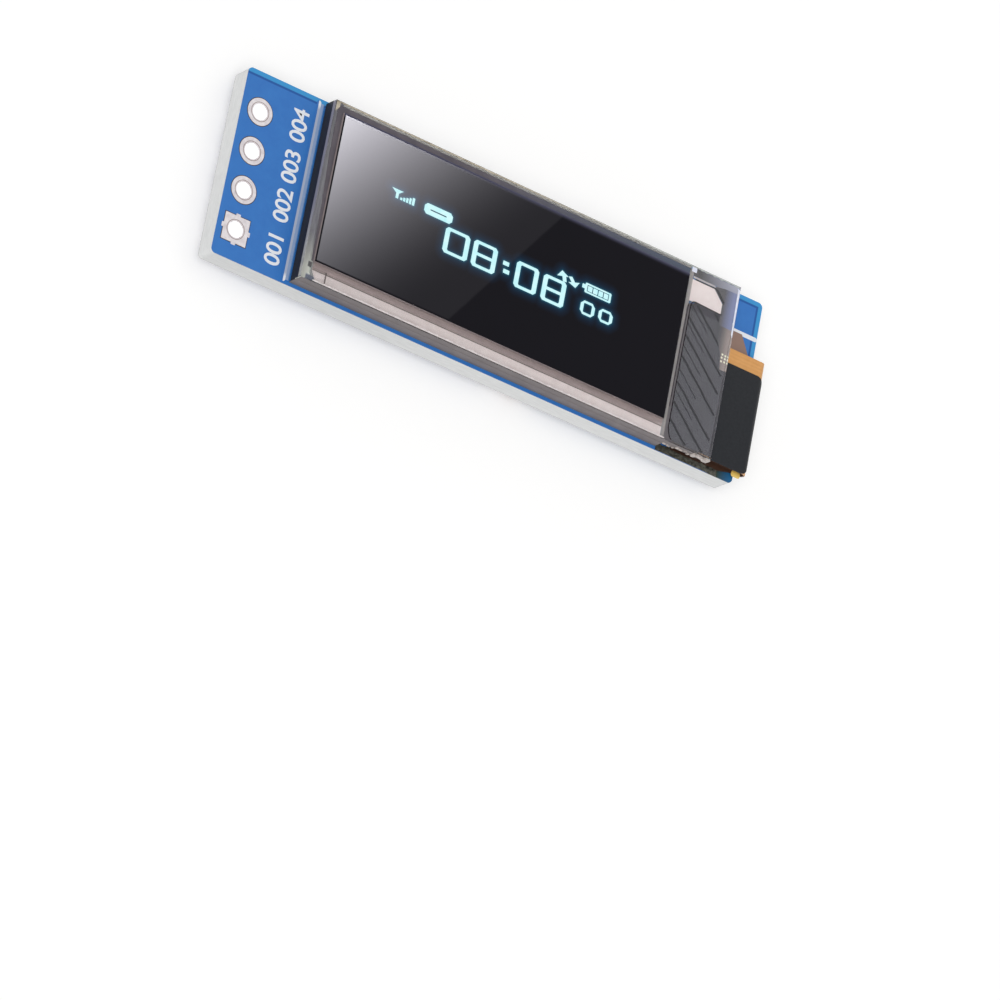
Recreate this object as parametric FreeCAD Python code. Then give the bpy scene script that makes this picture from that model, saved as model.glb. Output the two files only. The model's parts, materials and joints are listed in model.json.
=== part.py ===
import FreeCAD, Part
import math
import os

# Small OLED display module: a 38 x 12 mm circuit board that carries a 0.91 inch glass panel.
# Millimetres. X runs from the pin end to the flex end, Y across, Z up out of the screen.
# The origin is the centre of the overall box at its lowest level, where the chips rest.

# Circuit board
board_length = 38.0
board_width = 12.0
core_thickness = 1.4
board_corner_radius = 0.3
mask_thickness = 0.03
mask_expansion = 0.05
pad_thickness = 0.035
ink_thickness = 0.02
ink_width = 0.28
solder_film = 0.03
panel_line_gap = 0.25
flex_line_gap = 0.1

# Header holes, a single row along the pin end
pin_count = 4
pin_pitch = 2.54
pin_row_inset = 1.3
pin_row_shift = -0.27
pin_hole_radius = 0.5
plating_wall = 0.03
pin_pad_radius = 0.85
pin_frame_reach = 2.55
pin_frame_lower_margin = 0.65
pin_frame_upper_margin = 1.19

# Glass panel
panel_inset = 5.4
panel_end_margin = 2.6
panel_side_margin = 0.25
front_glass_thickness = 0.55
cap_glass_thickness = 0.5
glass_edge_bevel = 0.06
ledge_length = 3.6
seal_thickness = 0.06
seal_width = 0.9
cap_pocket_depth = 0.25
getter_thickness = 0.15
getter_margin = 0.8
panel_tape_thickness = 0.2
panel_tape_margin = 0.3
film_gap = 0.01

# Polarizer, pixel area and the pale films that show beside them
polarizer_thickness = 0.18
polarizer_inset = 0.6
polarizer_end_gap = 0.3
polarizer_top_margin = 0.69
polarizer_bottom_margin = 1.16
pixel_inset = 2.1
pixel_end_inset = 1.92
pixel_side_inset = 2.96
pixel_thickness = 0.02
strip_thickness = 0.02
strip_inset = 0.65
strip_width = 0.9
strip_edge_margin = 0.15
strip_end_chamfer = 0.5
strip_end_gap = 0.1
patch_length = 2.45
patch_width = 1.4
patch_gap = 0.2
patch_top_margin = 0.75
patch_chamfer = 0.75

# Flexible tail, folded under the ledge of the front glass
flex_thickness = 0.1
flex_overhang = 0.55
flex_side_margin = 0.15
flex_patch_gap = 0.15
neck_lower_step = 0.2
neck_upper_step = 1.45
flex_cap_gap = 0.2
upper_leaf_length = 2.6
lower_leaf_end_gap = 1.4
lower_leaf_length = 3.6
shoulder_length = 0.85
flex_corner_radius = 0.6
ledge_film_thickness = 0.05
bend_tape_thickness = 0.08
bend_tape_gap = 0.05
bend_tape_upper_step = 1.0
bend_tape_side_overlap = 0.06
bend_tape_end_gap = 0.05
bend_tape_corner_radius = 0.5

# Display driver chip on the underside of the tail's upper leaf
driver_length = 6.76
driver_width = 0.86
driver_thickness = 0.3
driver_inset = 0.5

# Row of soldered flex fingers
finger_count = 14
finger_row_margin = 0.335
finger_width = 0.32
finger_exposed = 0.6
finger_covered = 0.8
finger_bead_reach = 0.18
finger_bead_dip = 0.07
finger_margin = 0.05

# Two columns of chips on the back, each in a printed frame
left_column_inset = 15.8
left_column_shift = -0.23
left_cell_pitch = 1.476
right_column_inset = 22.8
right_column_lower_margin = 0.25
right_column_upper_margin = 0.43
column_width = 3.55
column_gap = 0.65
chip_offset = 0.25
pad_outer_reach = 1.4
pad_length = 1.0
pad_width = 0.9

# Chip capacitors and resistors, size 1608
chip_length = 1.6
chip_width = 0.8
capacitor_height = 0.8
resistor_height = 0.45
chip_end_length = 0.36
chip_end_wall = 0.03
chip_edge_chamfer = 0.04

# Small two-lead diode
diode_body_length = 1.2
diode_body_width = 0.8
diode_height = 0.6
diode_standoff = 0.02
diode_span = 1.6
diode_lead_width = 0.3
diode_lead_thickness = 0.12
diode_lead_root = 0.36

# Three-lead voltage regulator
regulator_inset = 9.2
regulator_shift = -1.35
regulator_length = 2.9
regulator_width = 1.3
regulator_height = 1.1
regulator_standoff = 0.08
regulator_span = 2.4
regulator_lead_pitch = 0.95
regulator_lead_width = 0.42
regulator_lead_thickness = 0.13
regulator_foot_length = 0.4
regulator_pad_length = 1.1
regulator_pad_width = 0.75
regulator_pad_reach = 2.15
regulator_mark_gap = 0.12
regulator_mark_length = 0.6
moulding_draft = 0.08
lead_bend_radius = 0.08
lead_leg_share = 0.4

# Solder joints on the back
joint_margin = 0.05
joint_rise = 0.36
fillet_hollow = 0.3

# Levels worked out from the sizes above
overall_length = board_length + flex_overhang
board_left = -overall_length / 2
board_right = board_left + board_length
panel_length = board_length - panel_inset - panel_end_margin
panel_width = board_width - 2 * panel_side_margin
core_back = regulator_height + solder_film + pad_thickness
core_front = core_back + core_thickness
mask_back = core_back - mask_thickness
mask_front = core_front + mask_thickness
chip_seat = core_back - pad_thickness - solder_film
panel_left = board_left + panel_inset
panel_right = panel_left + panel_length
cap_right = panel_right - ledge_length
cap_back = mask_front + panel_tape_thickness
cap_front = cap_back + cap_glass_thickness
glass_back = cap_front + seal_thickness
glass_front = glass_back + front_glass_thickness
film_level = glass_back - film_gap
upper_leaf_top = film_level - ledge_film_thickness
upper_leaf_bottom = upper_leaf_top - flex_thickness
lower_leaf_bottom = core_front + pad_thickness + solder_film
lower_leaf_top = lower_leaf_bottom + flex_thickness
bend_radius = (upper_leaf_top - lower_leaf_bottom) / 2
bend_centre_x = board_right + flex_overhang - bend_radius
upper_leaf_left = cap_right + flex_cap_gap
lower_leaf_left = cap_right + lower_leaf_end_gap
flex_lower_side = -panel_width / 2 + flex_side_margin
flex_upper_side = panel_width / 2 - patch_top_margin - patch_width - flex_patch_gap
neck_lower_side = flex_lower_side + neck_lower_step
neck_upper_side = flex_upper_side - neck_upper_step
finger_row = flex_upper_side - flex_lower_side - 2 * finger_row_margin
finger_pitch = (finger_row - finger_width) / (finger_count - 1)


def vec(x, y, z):
    return FreeCAD.Vector(x, y, z)


def block(x0, x1, y0, y1, z0, z1):
    """Plain rectangular solid between two corners."""
    return Part.makeBox(x1 - x0, y1 - y0, z1 - z0, vec(x0, y0, z0))


def slab(points, z0, z1):
    """Flat solid with a polygon outline, from level z0 up to z1."""
    corners = [vec(x, y, z0) for x, y in points]
    face = Part.Face(Part.makePolygon(corners + corners[:1]))
    return face.extrude(vec(0, 0, z1 - z0))


def round_upright_edges(solid, radius, keep=lambda x, y: True):
    """Round the upright edges of a flat solid whose corner passes the test."""
    edges = []
    for edge in solid.Edges:
        first, last = edge.Vertexes[0].Point, edge.Vertexes[-1].Point
        upright = abs(first.x - last.x) < 1e-6 and abs(first.y - last.y) < 1e-6
        if upright and abs(first.z - last.z) > 1e-6 and keep(first.x, first.y):
            edges.append(edge)
    return solid.makeFillet(radius, edges)


def bar(x0, y0, x1, y1, width, z0, z1):
    """Straight printed line with round ends."""
    run = math.hypot(x1 - x0, y1 - y0)
    half = width / 2
    top = Part.LineSegment(vec(0, half, 0), vec(run, half, 0)).toShape()
    end = Part.Arc(vec(run, half, 0), vec(run + half, 0, 0), vec(run, -half, 0)).toShape()
    bottom = Part.LineSegment(vec(run, -half, 0), vec(0, -half, 0)).toShape()
    start = Part.Arc(vec(0, -half, 0), vec(-half, 0, 0), vec(0, half, 0)).toShape()
    solid = Part.Face(Part.Wire([top, end, bottom, start])).extrude(vec(0, 0, z1 - z0))
    solid.rotate(vec(0, 0, 0), vec(0, 0, 1), math.degrees(math.atan2(y1 - y0, x1 - x0)))
    solid.translate(vec(x0, y0, z0))
    return solid


def joined(solids):
    """One solid out of several that touch or overlap."""
    return solids[0].multiFuse(solids[1:]).removeSplitter()


def group(solids):
    """Several separate solids kept in one sub-part."""
    return Part.makeCompound(solids)


def pin_centres():
    """Centre of each header hole, pin 1 first, at the side with the square pad."""
    first = pin_row_shift - pin_pitch * (pin_count - 1) / 2
    return [(board_left + pin_row_inset, first + pin_pitch * i) for i in range(pin_count)]


def column_cells(inset, shift, pitch, count):
    """Centre of each cell of a printed column of chips."""
    first = shift - pitch * (count - 1) / 2
    return [(board_left + inset, first + pitch * i) for i in range(count)]


def finger_centres():
    """Y of each soldered finger of the flex tail."""
    middle = (flex_lower_side + flex_upper_side) / 2
    first = middle - finger_pitch * (finger_count - 1) / 2
    return [first + finger_pitch * i for i in range(finger_count)]


# Which chip sits in which cell, from the square pad's side across
left_column = ["capacitor_1", "diode", "resistor_1", "resistor_2", "resistor_3"]
right_column = ["capacitor_2", "capacitor_3", "capacitor_4", "capacitor_5",
                "resistor_4", "capacitor_6", "capacitor_7", "capacitor_8"]
right_column_height = board_width - right_column_lower_margin - right_column_upper_margin
right_column_shift = (right_column_lower_margin - right_column_upper_margin) / 2
right_cell_pitch = right_column_height / len(right_column)
left_cells = column_cells(left_column_inset, left_column_shift, left_cell_pitch, len(left_column))
right_cells = column_cells(right_column_inset, right_column_shift, right_cell_pitch, len(right_column))
cell_of = dict(zip(left_column + right_column, left_cells + right_cells))


def pin_pad_outline(index, x, y, margin, z0, z1):
    """Land of one header hole, square at pin 1 and round at the others, grown by a margin."""
    reach = pin_pad_radius + margin
    if index == 0:
        return block(x - reach, x + reach, y - reach, y + reach, z0, z1)
    return Part.makeCylinder(reach, z1 - z0, vec(x, y, z0))


def chip_pads():
    """Rectangle (x0, x1, y0, y1) of every soldering pad on the back."""
    pads = []
    for x, y in left_cells + right_cells:
        for side in (-1, 1):
            ends = sorted((x + side * pad_outer_reach, x + side * (pad_outer_reach - pad_length)))
            pads.append((ends[0], ends[1], y - pad_width / 2, y + pad_width / 2))
    for side, y in regulator_leads():
        x = board_left + regulator_inset
        ends = sorted((x + side * regulator_pad_reach,
                       x + side * (regulator_pad_reach - regulator_pad_length)))
        pads.append((ends[0], ends[1], y - regulator_pad_width / 2, y + regulator_pad_width / 2))
    return pads


def finger_pads():
    """Rectangle of every pad under the flex fingers on the front."""
    x0 = lower_leaf_left - finger_exposed
    x1 = lower_leaf_left + finger_covered
    return [(x0, x1, y - finger_width / 2, y + finger_width / 2) for y in finger_centres()]


def printed_board():
    """Glass-fibre board with a drilled hole for each plated barrel."""
    core = block(board_left, board_right, -board_width / 2, board_width / 2, core_back, core_front)
    core = round_upright_edges(core, board_corner_radius)
    radius = pin_hole_radius + plating_wall
    drills = [Part.makeCylinder(radius, core_thickness, vec(x, y, core_back)) for x, y in pin_centres()]
    return core.cut(group(drills))


def solder_mask(z0, z1, pads):
    """Lacquer skin on one face of the board, open over the lands and pads."""
    skin = block(board_left, board_right, -board_width / 2, board_width / 2, z0, z1)
    skin = round_upright_edges(skin, board_corner_radius)
    windows = []
    for index, (x, y) in enumerate(pin_centres()):
        windows.append(pin_pad_outline(index, x, y, mask_expansion, z0, z1))
    for x0, x1, y0, y1 in pads:
        windows.append(block(x0 - mask_expansion, x1 + mask_expansion,
                             y0 - mask_expansion, y1 + mask_expansion, z0, z1))
    return skin.cut(group(windows))


def plated_hole(index, x, y):
    """Tinned barrel through the board with a land on each face."""
    height = core_thickness + 2 * pad_thickness
    barrel = Part.makeCylinder(pin_hole_radius + plating_wall, height,
                               vec(x, y, core_back - pad_thickness))
    back_land = pin_pad_outline(index, x, y, 0, core_back - pad_thickness, core_back)
    front_land = pin_pad_outline(index, x, y, 0, core_front, core_front + pad_thickness)
    bore = Part.makeCylinder(pin_hole_radius, height, vec(x, y, core_back - pad_thickness))
    return joined([barrel, back_land, front_land]).cut(bore)


def legend_front():
    """White lines printed beside the panel's end and beside the flex tail."""
    z0 = mask_front
    z1 = mask_front + ink_thickness
    x = panel_left - ink_width / 2 - panel_line_gap
    reach = board_width / 2 - ink_width
    y = flex_upper_side + flex_line_gap
    return group([bar(x, -reach, x, reach, ink_width, z0, z1),
                  bar(panel_right - ledge_length / 2, y, board_right - ink_width / 2, y, ink_width, z0, z1)])


def column_frame(cells, pitch, z0, z1):
    """Printed ladder round one column of chips, its rungs open in the middle."""
    x = cells[0][0]
    low = cells[0][1] - pitch / 2
    high = cells[-1][1] + pitch / 2
    left = x - column_width / 2
    right = x + column_width / 2
    lines = [bar(left, low, left, high, ink_width, z0, z1),
             bar(right, low, right, high, ink_width, z0, z1)]
    for rung in range(len(cells) + 1):
        y = low + rung * pitch
        lines.append(bar(left, y, x - column_gap / 2, y, ink_width, z0, z1))
        lines.append(bar(x + column_gap / 2, y, right, y, ink_width, z0, z1))
    return joined(lines)


def pin_frame(z0, z1):
    """Printed comb round the header holes on the back."""
    x = board_left + pin_row_inset
    spine = board_left + pin_frame_reach
    low = -board_width / 2 + pin_frame_lower_margin
    high = board_width / 2 - pin_frame_upper_margin
    edge = board_left + ink_width
    between = [y + pin_pitch / 2 for _, y in pin_centres()]
    lines = [bar(spine, low, spine, high, ink_width, z0, z1)]
    for y, start in ((low, edge), (between[0], edge), (between[1], x), (high, edge)):
        lines.append(bar(start, y, spine, y, ink_width, z0, z1))
    return joined(lines)


def regulator_marks(z0, z1):
    """Two printed corners and a short dash round the regulator's body."""
    x = board_left + regulator_inset
    left = x - regulator_width / 2 - regulator_mark_gap - ink_width / 2
    right = x + regulator_width / 2 + regulator_mark_gap
    marks = []
    for side in (-1, 1):
        y = regulator_shift + side * (regulator_length / 2 + regulator_mark_gap + ink_width / 2)
        upright = bar(left, y, left, y - side * regulator_mark_length, ink_width, z0, z1)
        level = bar(left, y, left + regulator_mark_length, y, ink_width, z0, z1)
        marks.append(joined([upright, level]))
    dash = regulator_mark_length / 2
    marks.append(bar(right, regulator_shift - dash / 2, right, regulator_shift + dash / 2,
                     ink_width / 2, z0, z1))
    return marks


def legend_back():
    """White print on the back: comb, two ladders and the regulator's corners."""
    z0 = mask_back - ink_thickness
    z1 = mask_back
    prints = [pin_frame(z0, z1),
              column_frame(left_cells, left_cell_pitch, z0, z1),
              column_frame(right_cells, right_cell_pitch, z0, z1)]
    return group(prints + regulator_marks(z0, z1))


def pads_back():
    """Copper pads that the chips are soldered to."""
    return group([block(x0, x1, y0, y1, core_back - pad_thickness, core_back)
                  for x0, x1, y0, y1 in chip_pads()])


def pads_front():
    """Copper pads that the flex fingers are soldered to."""
    return group([block(x0, x1, y0, y1, core_front, core_front + pad_thickness)
                  for x0, x1, y0, y1 in finger_pads()])


def chip_centre(name):
    """Where a chip sits: a little towards the flex end of its cell."""
    x, y = cell_of[name]
    return x + chip_offset, y


def chip_body(name, height):
    """Ceramic block of a chip, between and inside its two end caps."""
    x, y = chip_centre(name)
    half_length = chip_length / 2 - chip_end_wall
    half_width = chip_width / 2 - chip_end_wall
    return block(x - half_length, x + half_length, y - half_width, y + half_width,
                 chip_seat - height + chip_end_wall, chip_seat - chip_end_wall)


def chip_ends(name, height):
    """Pair of tinned end caps wrapped round the chip's ceramic block."""
    x, y = chip_centre(name)
    whole = block(x - chip_length / 2, x + chip_length / 2, y - chip_width / 2, y + chip_width / 2,
                  chip_seat - height, chip_seat)
    whole = whole.makeChamfer(chip_edge_chamfer, whole.Edges)
    middle = chip_length / 2 - chip_end_length
    window = block(x - middle, x + middle, y - chip_width, y + chip_width, chip_seat - 2 * height, core_front)
    return whole.cut(group([chip_body(name, height), window]))


def frustum(x, y, half_a, z_a, half_b, z_b):
    """Block whose rectangle changes from half_a at level z_a to half_b at level z_b."""
    rings = []
    for (half_x, half_y), level in ((half_a, z_a), (half_b, z_b)):
        rings.append([vec(x - half_x, y - half_y, level), vec(x + half_x, y - half_y, level),
                      vec(x + half_x, y + half_y, level), vec(x - half_x, y + half_y, level)])
    low, high = rings
    outlines = [low, high] + [[low[i], low[i - 1], high[i - 1], high[i]] for i in range(4)]
    faces = [Part.Face(Part.makePolygon(points + points[:1])) for points in outlines]
    return Part.makeSolid(Part.makeShell(faces))


def moulded_body(x, y, length_x, length_y, z_low, z_high):
    """Moulded package whose four sides lean in both ways from the parting line."""
    parting = (z_low + z_high) / 2
    full = (length_x / 2, length_y / 2)
    small = (full[0] - moulding_draft, full[1] - moulding_draft)
    return frustum(x, y, small, z_low, full, parting).fuse(frustum(x, y, full, parting, small, z_high))


def lead(x_root, x_toe, y, width, thickness, z_exit, z_foot):
    """Bent lead: out of the body at z_exit, up a leg and along a foot that ends at z_foot."""
    side = 1 if x_toe > x_root else -1
    half = thickness / 2
    leg_x = x_root + (x_toe - x_root) * lead_leg_share
    foot = z_foot - half
    outline = [(x_root, z_exit - half), (leg_x + side * half, z_exit - half),
               (leg_x + side * half, foot - half), (x_toe, foot - half),
               (x_toe, foot + half), (leg_x - side * half, foot + half),
               (leg_x - side * half, z_exit + half), (x_root, z_exit + half)]
    corners = [vec(px, y - width / 2, pz) for px, pz in outline]
    strip = Part.Face(Part.makePolygon(corners + corners[:1])).extrude(vec(0, width, 0))
    bends = []
    for edge in strip.Edges:
        near, far = edge.Vertexes[0].Point, edge.Vertexes[-1].Point
        outer = any(abs(near.x - px) + abs(near.z - pz) < 1e-6 for px, pz in (outline[1], outline[5]))
        if outer and abs(far.y - near.y) > half:
            bends.append(edge)
    return strip.makeFillet(lead_bend_radius, bends)


def diode_body():
    """Black moulded body of the diode."""
    x, y = chip_centre("diode")
    return moulded_body(x, y, diode_body_length, diode_body_width,
                        chip_seat - diode_height, chip_seat - diode_standoff)


def diode_leads():
    """Two flat leads that run out under the diode's ends."""
    x, y = chip_centre("diode")
    solids = []
    for side in (-1, 1):
        ends = sorted((x + side * diode_lead_root, x + side * diode_span / 2))
        solids.append(block(ends[0], ends[1], y - diode_lead_width / 2, y + diode_lead_width / 2,
                            chip_seat - diode_lead_thickness, chip_seat))
    return group(solids).cut(diode_body())


def regulator_leads():
    """Side and Y of each lead: one towards the pins, two towards the flex end."""
    return [(-1, regulator_shift),
            (1, regulator_shift - regulator_lead_pitch),
            (1, regulator_shift + regulator_lead_pitch)]


def regulator_body():
    """Black moulded body of the regulator."""
    return moulded_body(board_left + regulator_inset, regulator_shift, regulator_width, regulator_length,
                        chip_seat - regulator_height, chip_seat - regulator_standoff)


def regulator_legs():
    """Three gull-wing leads of the regulator."""
    x = board_left + regulator_inset
    z_exit = chip_seat - (regulator_height + regulator_standoff) / 2
    solids = []
    for side, y in regulator_leads():
        solids.append(lead(x + side * regulator_width / 2, x + side * regulator_span / 2, y,
                           regulator_lead_width, regulator_lead_thickness, z_exit, chip_seat))
    return group(solids).cut(regulator_body())


def solder_joint(x_face, x_edge, x_under, y, width, height):
    """Solder under one end of a chip, with a hollow two-sided fillet up its end face."""
    pad_level = core_back - pad_thickness
    rim = pad_level - solder_film / 3
    crest = chip_seat - height
    knee_x = x_face + (x_edge - x_face) * fillet_hollow
    knee_z = rim + (crest - rim) * fillet_hollow
    outline = [(x_face, crest), (knee_x, knee_z), (x_edge, rim), (x_edge, pad_level),
               (x_under, pad_level), (x_under, chip_seat), (x_face, chip_seat)]
    corners = [vec(px, y - width / 2, pz) for px, pz in outline]
    return Part.Face(Part.makePolygon(corners + corners[:1])).extrude(vec(0, width, 0))


def chip_solder():
    """Solder at every end of every part on the back."""
    joints = []
    for name, (cell_x, y) in cell_of.items():
        x, _ = chip_centre(name)
        half = diode_span / 2 if name == "diode" else chip_length / 2
        rise = diode_lead_thickness if name == "diode" else joint_rise
        width = pad_width - 2 * joint_margin
        for side in (-1, 1):
            joints.append(solder_joint(x + side * half, cell_x + side * (pad_outer_reach - joint_margin),
                                       x + side * (half - chip_end_length + joint_margin), y, width, rise))
    x = board_left + regulator_inset
    for side, y in regulator_leads():
        toe = regulator_span / 2
        joints.append(solder_joint(x + side * toe, x + side * (regulator_pad_reach - joint_margin),
                                   x + side * (toe - regulator_foot_length), y,
                                   regulator_pad_width - 2 * joint_margin, regulator_lead_thickness))
    return group(joints)


def panel_tape():
    """Double-sided tape that holds the panel's cap to the board."""
    m = panel_tape_margin
    return block(panel_left + m, cap_right - m, -panel_width / 2 + m, panel_width / 2 - m,
                 mask_front, cap_back)


def bevelled_glass(x0, x1, z0, z1):
    """Sheet of cut glass with its sharp long rims broken."""
    sheet = block(x0, x1, -panel_width / 2, panel_width / 2, z0, z1)
    rims = [edge for edge in sheet.Edges
            if abs(edge.Vertexes[0].Point.z - z1) < 1e-6 and abs(edge.Vertexes[-1].Point.z - z1) < 1e-6]
    return sheet.makeChamfer(glass_edge_bevel, rims)


def front_glass():
    """Display glass, longer than the cap by the ledge that takes the flex tail."""
    return bevelled_glass(panel_left, panel_right, glass_back, glass_front)


def cap_glass():
    """Rear glass with the shallow pocket that keeps clear of the pixels."""
    sheet = block(panel_left, cap_right, -panel_width / 2, panel_width / 2, cap_back, cap_front)
    w = seal_width
    pocket = block(panel_left + w, cap_right - w, -panel_width / 2 + w, panel_width / 2 - w,
                   cap_front - cap_pocket_depth, cap_front)
    return sheet.cut(pocket)


def edge_seal():
    """Bead of resin that joins the two glasses all round, thinner over the contact strip."""
    outer = block(panel_left, cap_right, -panel_width / 2, panel_width / 2, cap_front, glass_back)
    w = seal_width
    inner = block(panel_left + w, cap_right - w, -panel_width / 2 + w, panel_width / 2 - w,
                  cap_front, glass_back)
    recess = slab(contact_strip_outline(), film_level - strip_thickness, glass_back)
    return outer.cut(group([inner, recess]))


def getter_sheet():
    """Drying sheet at the bottom of the cap's pocket."""
    w = seal_width + getter_margin
    floor = cap_front - cap_pocket_depth
    return block(panel_left + w, cap_right - w, -panel_width / 2 + w, panel_width / 2 - w,
                 floor, floor + getter_thickness)


def pixel_layer():
    """Light-emitting layer on the inner face of the display glass."""
    x0 = panel_left + pixel_inset
    x1 = cap_right - pixel_end_inset
    reach = panel_width / 2 - pixel_side_inset
    return block(x0, x1, -reach, reach, glass_back - pixel_thickness, glass_back)


def polarizer():
    """Dark film on the front of the glass."""
    return block(panel_left + polarizer_inset, cap_right - polarizer_end_gap,
                 -panel_width / 2 + polarizer_bottom_margin, panel_width / 2 - polarizer_top_margin,
                 glass_front, glass_front + polarizer_thickness)


def contact_strip_outline():
    """Outline of the strip, with one corner cut off at the pin end."""
    x0 = panel_left + strip_inset
    x1 = cap_right - strip_end_gap
    y0 = -panel_width / 2 + strip_edge_margin
    y1 = y0 + strip_width
    c = strip_end_chamfer
    return [(x0 + c, y0), (x1, y0), (x1, y1), (x0, y1), (x0, y0 + c)]


def contact_strip():
    """Pale metal film along the lower side, between the seal and the glass."""
    return slab(contact_strip_outline(), film_level - strip_thickness, film_level)


def contact_patch():
    """Pale metal film on the ledge, beside the upper corner of the screen."""
    x0 = cap_right + patch_gap
    x1 = x0 + patch_length
    y1 = panel_width / 2 - patch_top_margin
    y0 = y1 - patch_width
    c = patch_chamfer
    outline = [(x0, y0), (x1, y0), (x1, y1 - c), (x1 - c, y1), (x0, y1)]
    return slab(outline, film_level - strip_thickness, film_level)


def upper_leaf_outline(x_end):
    """Outline of the tail's upper leaf: wide under the ledge, then the neck."""
    x0 = upper_leaf_left
    x1 = x0 + upper_leaf_length
    return [(x0, flex_lower_side), (x1, flex_lower_side), (x1, neck_lower_side), (x_end, neck_lower_side),
            (x_end, neck_upper_side), (x1, neck_upper_side), (x1, flex_upper_side), (x0, flex_upper_side)]


def lower_leaf_outline():
    """Outline of the tail's lower leaf, with a slanted shoulder out to the fingers."""
    x0 = lower_leaf_left
    x1 = x0 + lower_leaf_length
    x2 = x1 + shoulder_length
    return [(x0, flex_lower_side), (x1, flex_lower_side), (x2, neck_lower_side),
            (bend_centre_x, neck_lower_side), (bend_centre_x, neck_upper_side),
            (x2, neck_upper_side), (x1, flex_upper_side), (x0, flex_upper_side)]


def flex_tail():
    """Polyimide tail: bonded under the ledge, out past the board, round and back to its fingers."""
    upper = slab(upper_leaf_outline(bend_centre_x), upper_leaf_bottom, upper_leaf_top)
    upper = round_upright_edges(upper, flex_corner_radius, lambda x, y: x < upper_leaf_left + 1e-3)
    lower = slab(lower_leaf_outline(), lower_leaf_bottom, lower_leaf_top)
    corners = [vec(bend_centre_x, neck_lower_side, upper_leaf_bottom),
               vec(bend_centre_x, neck_upper_side, upper_leaf_bottom),
               vec(bend_centre_x, neck_upper_side, upper_leaf_top),
               vec(bend_centre_x, neck_lower_side, upper_leaf_top)]
    section = Part.Face(Part.makePolygon(corners + corners[:1]))
    centre = vec(bend_centre_x, 0, (upper_leaf_top + lower_leaf_bottom) / 2)
    bend = section.revolve(centre, vec(0, 1, 0), 180)
    return joined([upper, bend, lower])


def ledge_film():
    """Dark cover film on the upper leaf, seen through the clear ledge."""
    film = slab(upper_leaf_outline(panel_right), upper_leaf_top, film_level)
    return round_upright_edges(film, flex_corner_radius, lambda x, y: x < upper_leaf_left + 1e-3)


def bend_tape():
    """Black tape that covers the neck of the tail, round at its free corners."""
    x0 = panel_right + bend_tape_gap
    x1 = board_right + flex_overhang - bend_tape_end_gap
    tape = block(x0, x1, neck_lower_side - bend_tape_side_overlap, neck_upper_side - bend_tape_upper_step,
                 upper_leaf_top, upper_leaf_top + bend_tape_thickness)
    return round_upright_edges(tape, bend_tape_corner_radius, lambda x, y: x > x1 - 1e-3)


def driver_die():
    """Display driver chip on the underside of the upper leaf, hidden under the ledge."""
    x0 = upper_leaf_left + driver_inset
    middle = (flex_lower_side + flex_upper_side) / 2
    return block(x0, x0 + driver_width, middle - driver_length / 2, middle + driver_length / 2,
                 upper_leaf_bottom - driver_thickness, upper_leaf_bottom)


def finger_solder():
    """Solder under and in front of each flex finger."""
    joints = []
    floor = core_front + pad_thickness
    for x0, x1, y0, y1 in finger_pads():
        start = vec(x0 + finger_margin, y0, floor)
        crest = vec(lower_leaf_left, y0, lower_leaf_top)
        middle = vec(lower_leaf_left - finger_bead_reach, y0, floor + finger_bead_dip)
        arc = Part.Arc(start, middle, crest).toShape()
        points = [crest, vec(lower_leaf_left, y0, lower_leaf_bottom),
                  vec(x1 - finger_margin, y0, lower_leaf_bottom), vec(x1 - finger_margin, y0, floor), start]
        lines = [Part.LineSegment(a, b).toShape() for a, b in zip(points[:-1], points[1:])]
        joints.append(Part.Face(Part.Wire([arc] + lines)).extrude(vec(0, y1 - y0, 0)))
    return group(joints)


def build():
    """Every sub-part by name."""
    nodes = {
        "printed_board": printed_board(),
        "solder_mask_front": solder_mask(core_front, mask_front, finger_pads()),
        "solder_mask_back": solder_mask(mask_back, core_back, chip_pads()),
        "legend_front": legend_front(),
        "legend_back": legend_back(),
        "pads_front": pads_front(),
        "pads_back": pads_back(),
    }
    for index, (x, y) in enumerate(pin_centres()):
        nodes["plated_hole_%d" % (index + 1)] = plated_hole(index, x, y)
    for name in left_column + right_column:
        if name == "diode":
            nodes["diode_body"] = diode_body()
            nodes["diode_leads"] = diode_leads()
            continue
        height = capacitor_height if name.startswith("capacitor") else resistor_height
        nodes[name + "_body"] = chip_body(name, height)
        nodes[name + "_ends"] = chip_ends(name, height)
    nodes["regulator_body"] = regulator_body()
    nodes["regulator_leads"] = regulator_legs()
    nodes["chip_solder"] = chip_solder()
    nodes["panel_tape"] = panel_tape()
    nodes["cap_glass"] = cap_glass()
    nodes["getter_sheet"] = getter_sheet()
    nodes["edge_seal"] = edge_seal()
    nodes["pixel_layer"] = pixel_layer()
    nodes["front_glass"] = front_glass()
    nodes["polarizer"] = polarizer()
    nodes["contact_strip"] = contact_strip()
    nodes["contact_patch"] = contact_patch()
    nodes["flex_tail"] = flex_tail()
    nodes["ledge_film"] = ledge_film()
    nodes["bend_tape"] = bend_tape()
    nodes["driver_die"] = driver_die()
    nodes["finger_solder"] = finger_solder()
    return nodes


os.makedirs("parts", exist_ok=True)
for node_name, shape in build().items():
    shape.exportStep("parts/%s.step" % node_name)
    box = shape.BoundBox
    print("%-20s %2d solids  %8.4f mm3  valid %s  x %.2f..%.2f y %.2f..%.2f z %.3f..%.3f" % (
        node_name, len(shape.Solids), shape.Volume, shape.isValid(),
        box.XMin, box.XMax, box.YMin, box.YMax, box.ZMin, box.ZMax))
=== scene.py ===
"""Looks of the small OLED display module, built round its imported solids.

Lengths in the classes are millimetres, as in the part's source, and a finished mesh is scaled to Blender's
metres. X runs from the pin end to the flex end, Y across the board and Z up out of the screen.
"""

import json
import logging
import math
import random
from dataclasses import dataclass
from enum import Enum
from typing import Callable, Iterable, Sequence

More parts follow.
